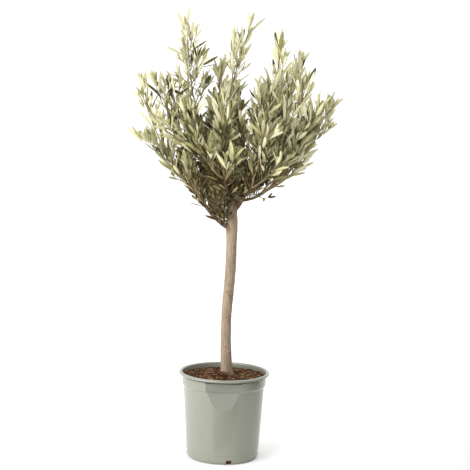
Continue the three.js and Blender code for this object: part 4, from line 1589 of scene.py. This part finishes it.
class OliveStageSettings(bpy.types.PropertyGroup):
    """Camera, floor and light."""

    distance: bpy.props.FloatProperty(
        name="Camera distance", description="From the trunk to the camera, level",
        default=2.9, min=0.5, max=10, **LENGTH
    )
    camera_height: bpy.props.FloatProperty(
        name="Camera height", description="Height of the camera above the floor",
        default=0.84, min=0, max=5, **LENGTH
    )
    lens: bpy.props.FloatProperty(
        name="Lens", description="Focal length in millimetres on a sensor 36 mm wide",
        default=97.66, min=20, max=200, subtype="DISTANCE_CAMERA", unit="CAMERA"
    )
    pitch: bpy.props.FloatProperty(
        name="Pitch", description="How far the camera looks down", default=math.radians(6.35), **ANGLE
    )
    roll: bpy.props.FloatProperty(
        name="Roll", description="How far the camera leans", default=math.radians(1.6), **ANGLE
    )
    key_power: bpy.props.FloatProperty(
        name="Key light", description="Power of the soft light from the left, in watts",
        default=69, min=0, max=500, subtype="POWER", unit="POWER"
    )
    surround: bpy.props.FloatProperty(
        name="Surround", description="Strength of the even light from all round", default=1.32, min=0, max=5
    )
    card_distance: bpy.props.FloatProperty(
        name="Card distance", description="How far to the right the shading card stands",
        default=0.67, min=0.6, max=5, **LENGTH
    )
    card: bpy.props.FloatVectorProperty(
        name="Card", description="Colour of the shading cards", default=(0.04, 0.033, 0.016), **COLOUR
    )
    floor_card: bpy.props.FloatVectorProperty(
        name="Floor card", description="Colour of the card on the floor", default=(0.46, 0.45, 0.42), **COLOUR
    )
    floor: bpy.props.FloatVectorProperty(
        name="Floor", description="Colour of the floor", default=(0.98, 0.98, 0.98), **COLOUR
    )


# Operators


class OLIVE_OT_pot(bpy.types.Operator):
    """Build the nursery pot with its lip, band, flat front and drain slots"""

    bl_idname = "olive.pot"
    bl_label = "Pot"

    def execute(self, context):
        sizes = context.scene.olive_pot
        pot = spun("pot_shell", pot_outline(sizes.wall), sizes.segments)
        flatten_front(pot, sizes.wall)
        cut_slots(pot)
        smooth_up_to(pot, POT_CREASE)
        # The flat front's darker copy of the plastic and the groove's dark band are both painted shade.
        shaded_panel_colour, lip_shade_colour = tinted(sizes.colour, sizes.painted_panel_shade), tinted(sizes.colour, *LIP_SHADE_TINT)
        pot.data.materials.append(moulded_plastic("pot_plastic", sizes.colour, sizes.roughness))
        pot.data.materials.append(moulded_plastic("pot_panel_painted_shade", shaded_panel_colour, sizes.roughness))
        pot.data.materials.append(plain_material("pot_lip_painted_shade", lip_shade_colour, roughness=0.8))
        deal_out_finishes(pot)
        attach(pot, BODY)
        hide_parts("pot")
        return {"FINISHED"}


class OLIVE_OT_soil(bpy.types.Operator):
    """Fill the pot with a fibrous potting mix, strewn with bark chips and curly fibres"""

    bl_idname = "olive.soil"
    bl_label = "Soil"

    def execute(self, context):
        sizes = context.scene.olive_soil
        wall = context.scene.olive_pot.wall
        soil = spun("soil_mix", soil_outline(wall), SOIL_SEGMENTS)
        for vertex in soil.data.vertices:
            draw_in_top(vertex.co, wall)
            roughen(vertex.co, sizes.clod)
            clear_panel(vertex.co, wall)
        smooth_up_to(soil, SOIL_CREASE)
        soil.data.materials.append(potting_mix(sizes.dark, sizes.red))
        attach(soil, BODY)
        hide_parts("soil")
        surface = BVHTree.FromPolygons(
            [vertex.co for vertex in soil.data.vertices], [face.vertices[:] for face in soil.data.polygons]
        )
        for kind in STREWN:
            piece = strew(kind, getattr(sizes, kind), surface)
            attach(piece, BODY)
            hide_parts("soil")
        return {"FINISHED"}


class OLIVE_OT_limbs(bpy.types.Operator):
    """Build the trunk and its boughs as one skin of bark"""

    bl_idname = "olive.limbs"
    bl_label = "Trunk and boughs"

    def execute(self, context):
        sizes = context.scene.olive_bark
        limbs = all_limbs()
        deselect()
        tubes = [limb_curve(f"limb_{name}", limb) for name, limb in limbs.items()]
        for tube in tubes:
            tube.select_set(True)
        context.view_layer.objects.active = tubes[0]
        bpy.ops.object.convert(target="MESH")
        bpy.ops.object.join()
        trunk = context.object
        trunk.name = trunk.data.name = "trunk_and_boughs"
        add_modifier(trunk, "REMESH", mode="VOXEL", voxel_size=sizes.grain)
        add_modifier(trunk, "SMOOTH", factor=0.5, iterations=6)
        apply_modifiers(trunk)
        relieve_bark(trunk, limbs, sizes.relief)
        trunk.data.polygons.foreach_set("use_smooth", [True] * len(trunk.data.polygons))
        trunk.data.update()
        trunk.data.materials.append(bark_material(sizes.pale, sizes.dark, sizes.bough))
        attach(trunk, BODY)
        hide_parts("trunk", *(f"bough_{name}" for name in limbs if name != "trunk"))
        return {"FINISHED"}


class OLIVE_OT_foliage(bpy.types.Operator):
    """Grow the shoots, twigs and leaves, joined by bough"""

    bl_idname = "olive.foliage"
    bl_label = "Foliage"

    def execute(self, context):
        sizes = context.scene.olive_leaf
        limbs = all_limbs()
        grower = Grower(sizes)
        wood = twig_bark(context.scene.olive_bark.young)
        # Each tint is one plain colour, dealt out by spray, and to some single leaves.
        tints = []
        for tint in TINTS:
            for side in ("upper", "under"):
                name = f"{side}_{tint}" if tint else side
                finish = LEAF_ROUGHNESS[side], LEAF_SHEEN[side]
                tints.append(plain_material(f"leaf_{name}", getattr(sizes, name), *finish))
        own = 0
        for number, (bough, shoots) in enumerate(SHOOTS.items()):
            growth = Growth()
            limb = limbs[bough]
            for name, (at, bearing, lift, reach, rise, girth, leaf_size) in shoots.items():
                grower.openness = OPENNESS.get((bough, name), 1.0)
                root = limb.at(at)[0]
                root_radius = min(THICKEST_STEM, limb.radius(at) * STEM_ON_BOUGH)
                grower.shoot(growth, own, root, bearing, lift, reach, rise, girth, leaf_size, root_radius)
                own += 1
            grower.openness = 1.0
            grower.bough_twigs(growth, number, limb, HANGING.get(bough, 1.0), bough in CLOTHED)
            nodes = [f"foliage_{bough}_{name}" for name in shoots]
            twigs = mesh_piece(f"twigs_{bough}", growth.points, growth.faces)
            twigs.data.materials.append(wood)
            leaves = leaf_piece(f"leaves_{bough}", growth.leaves, sizes.leaf_thickness, tints)
            for piece, slot in ((twigs, "young_bark"), (leaves, "olive_leaf")):
                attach(piece, BODY)
                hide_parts(*nodes)
        return {"FINISHED"}


class OLIVE_OT_stage(bpy.types.Operator):
    """Set up the floor, the camera and the soft light"""

    bl_idname = "olive.stage"
    bl_label = "Stage"

    def execute(self, context):
        sizes = context.scene.olive_stage
        deselect()
        bpy.ops.mesh.primitive_plane_add(size=FLOOR_SIZE, location=(0, 0, 0))
        floor = context.object
        floor.name = floor.data.name = "floor"
        floor.data.materials.append(plain_material("floor_paper", sizes.floor, roughness=0.9))
        lean = Matrix.Rotation(math.pi / 2 - sizes.pitch, 4, "X") @ Matrix.Rotation(sizes.roll, 4, "Z")
        place = (CAMERA_X, -sizes.distance, sizes.camera_height)
        bpy.ops.object.camera_add(location=place, rotation=lean.to_euler())
        camera = context.object
        camera.data.sensor_width = SENSOR_WIDTH
        camera.data.lens = sizes.lens
        context.scene.camera = camera
        self.add_key_light(sizes.key_power)
        paper = plain_material("card_paper", sizes.card, roughness=0.9)
        for name, (share, y, z, size, turn) in CARDS.items():
            self.add_card(name, (sizes.card_distance * share, y, z), size, math.radians(turn), paper)
        self.add_floor_card(plain_material("floor_card_paper", sizes.floor_card, roughness=0.9))
        world = bpy.data.worlds.new("pale_surround")
        world.use_nodes = True
        background = world.node_tree.nodes["Background"]
        background.inputs["Color"].default_value = (1, 1, 1, 1)
        background.inputs["Strength"].default_value = sizes.surround
        context.scene.world = world
        context.scene.view_settings.view_transform = "Standard"
        return {"FINISHED"}

    def add_key_light(self, power):
        """A large soft light from the left, aimed at the middle of the plant."""
        aim = (KEY_LIGHT_AIM - Vector(KEY_LIGHT_PLACE)).to_track_quat("-Z", "Y").to_euler()
        bpy.ops.object.light_add(type="AREA", location=KEY_LIGHT_PLACE, rotation=aim)
        light = bpy.context.object
        light.name = light.data.name = "key_light"
        light.data.shape = "RECTANGLE"
        light.data.size, light.data.size_y = KEY_LIGHT_SIZE
        light.data.energy = power

    def add_card(self, name, middle, size, turn, paper):
        """An upright dark card of this height and width on the right, out of sight, that shades the pot."""
        deselect()
        bpy.ops.mesh.primitive_plane_add(size=1, location=middle)
        card = start_piece(name)
        bpy.ops.transform.resize(value=(*size, 1))
        bpy.ops.transform.rotate(value=math.pi / 2, orient_axis="Y", center_override=middle)
        bpy.ops.transform.rotate(value=turn, orient_axis="Z", center_override=middle)
        bpy.ops.object.mode_set(mode="OBJECT")
        card.data.materials.append(paper)

    def add_floor_card(self, paper):
        """A grey card on the floor in front, below the picture, that shows in the pot's sheen."""
        deselect()
        width, depth = FLOOR_CARD_SIZE
        bpy.ops.mesh.primitive_plane_add(size=1, location=(width / 2, -depth / 2, FLOOR_CARD_LIFT))
        card = start_piece("floor_card")
        bpy.ops.transform.resize(value=(width, depth, 1))
        corner = (0, 0, FLOOR_CARD_LIFT)
        bpy.ops.transform.rotate(value=FLOOR_CARD_TURN, orient_axis="Z", center_override=corner)
        bpy.ops.transform.translate(value=FLOOR_CARD_MOVE)
        bpy.ops.object.mode_set(mode="OBJECT")
        card.data.materials.append(paper)


class OLIVE_PT_panel(bpy.types.Panel):
    """The olive tree's pieces and their settings"""

    bl_idname = "OLIVE_PT_panel"
    bl_label = "Olive tree"
    bl_space_type = "VIEW_3D"
    bl_region_type = "UI"
    bl_category = "Olive tree"

    def draw(self, context):
        for operator, settings, _ in STEPS:
            box = self.layout.box()
            box.operator(operator.bl_idname)
            group = getattr(context.scene, settings)
            for name in group.bl_rna.properties.keys():
                if name not in ("rna_type", "name"):
                    box.prop(group, name)


# Each step's operator, and where the scene keeps its settings.
STEPS = [
    (OLIVE_OT_pot, "olive_pot", OlivePotSettings),
    (OLIVE_OT_soil, "olive_soil", OliveSoilSettings),
    (OLIVE_OT_limbs, "olive_bark", OliveBarkSettings),
    (OLIVE_OT_foliage, "olive_leaf", OliveLeafSettings),
    (OLIVE_OT_stage, "olive_stage", OliveStageSettings),
]


def register():
    """Registers the settings, operators and panel."""
    for operator, name, group in STEPS:
        bpy.utils.register_class(group)
        setattr(bpy.types.Scene, name, bpy.props.PointerProperty(type=group))
        bpy.utils.register_class(operator)
    bpy.utils.register_class(OLIVE_PT_panel)


def unregister():
    """Takes back what register did."""
    bpy.utils.unregister_class(OLIVE_PT_panel)
    for operator, name, group in reversed(STEPS):
        bpy.utils.unregister_class(operator)
        delattr(bpy.types.Scene, name)
        bpy.utils.unregister_class(group)


def main():
    """Builds the pieces and the stage."""
    register()
    bpy.ops.olive.pot()
    bpy.ops.olive.soil()
    bpy.ops.olive.limbs()
    bpy.ops.olive.foliage()
    bpy.ops.olive.stage()


if __name__ == "__main__":
    main()
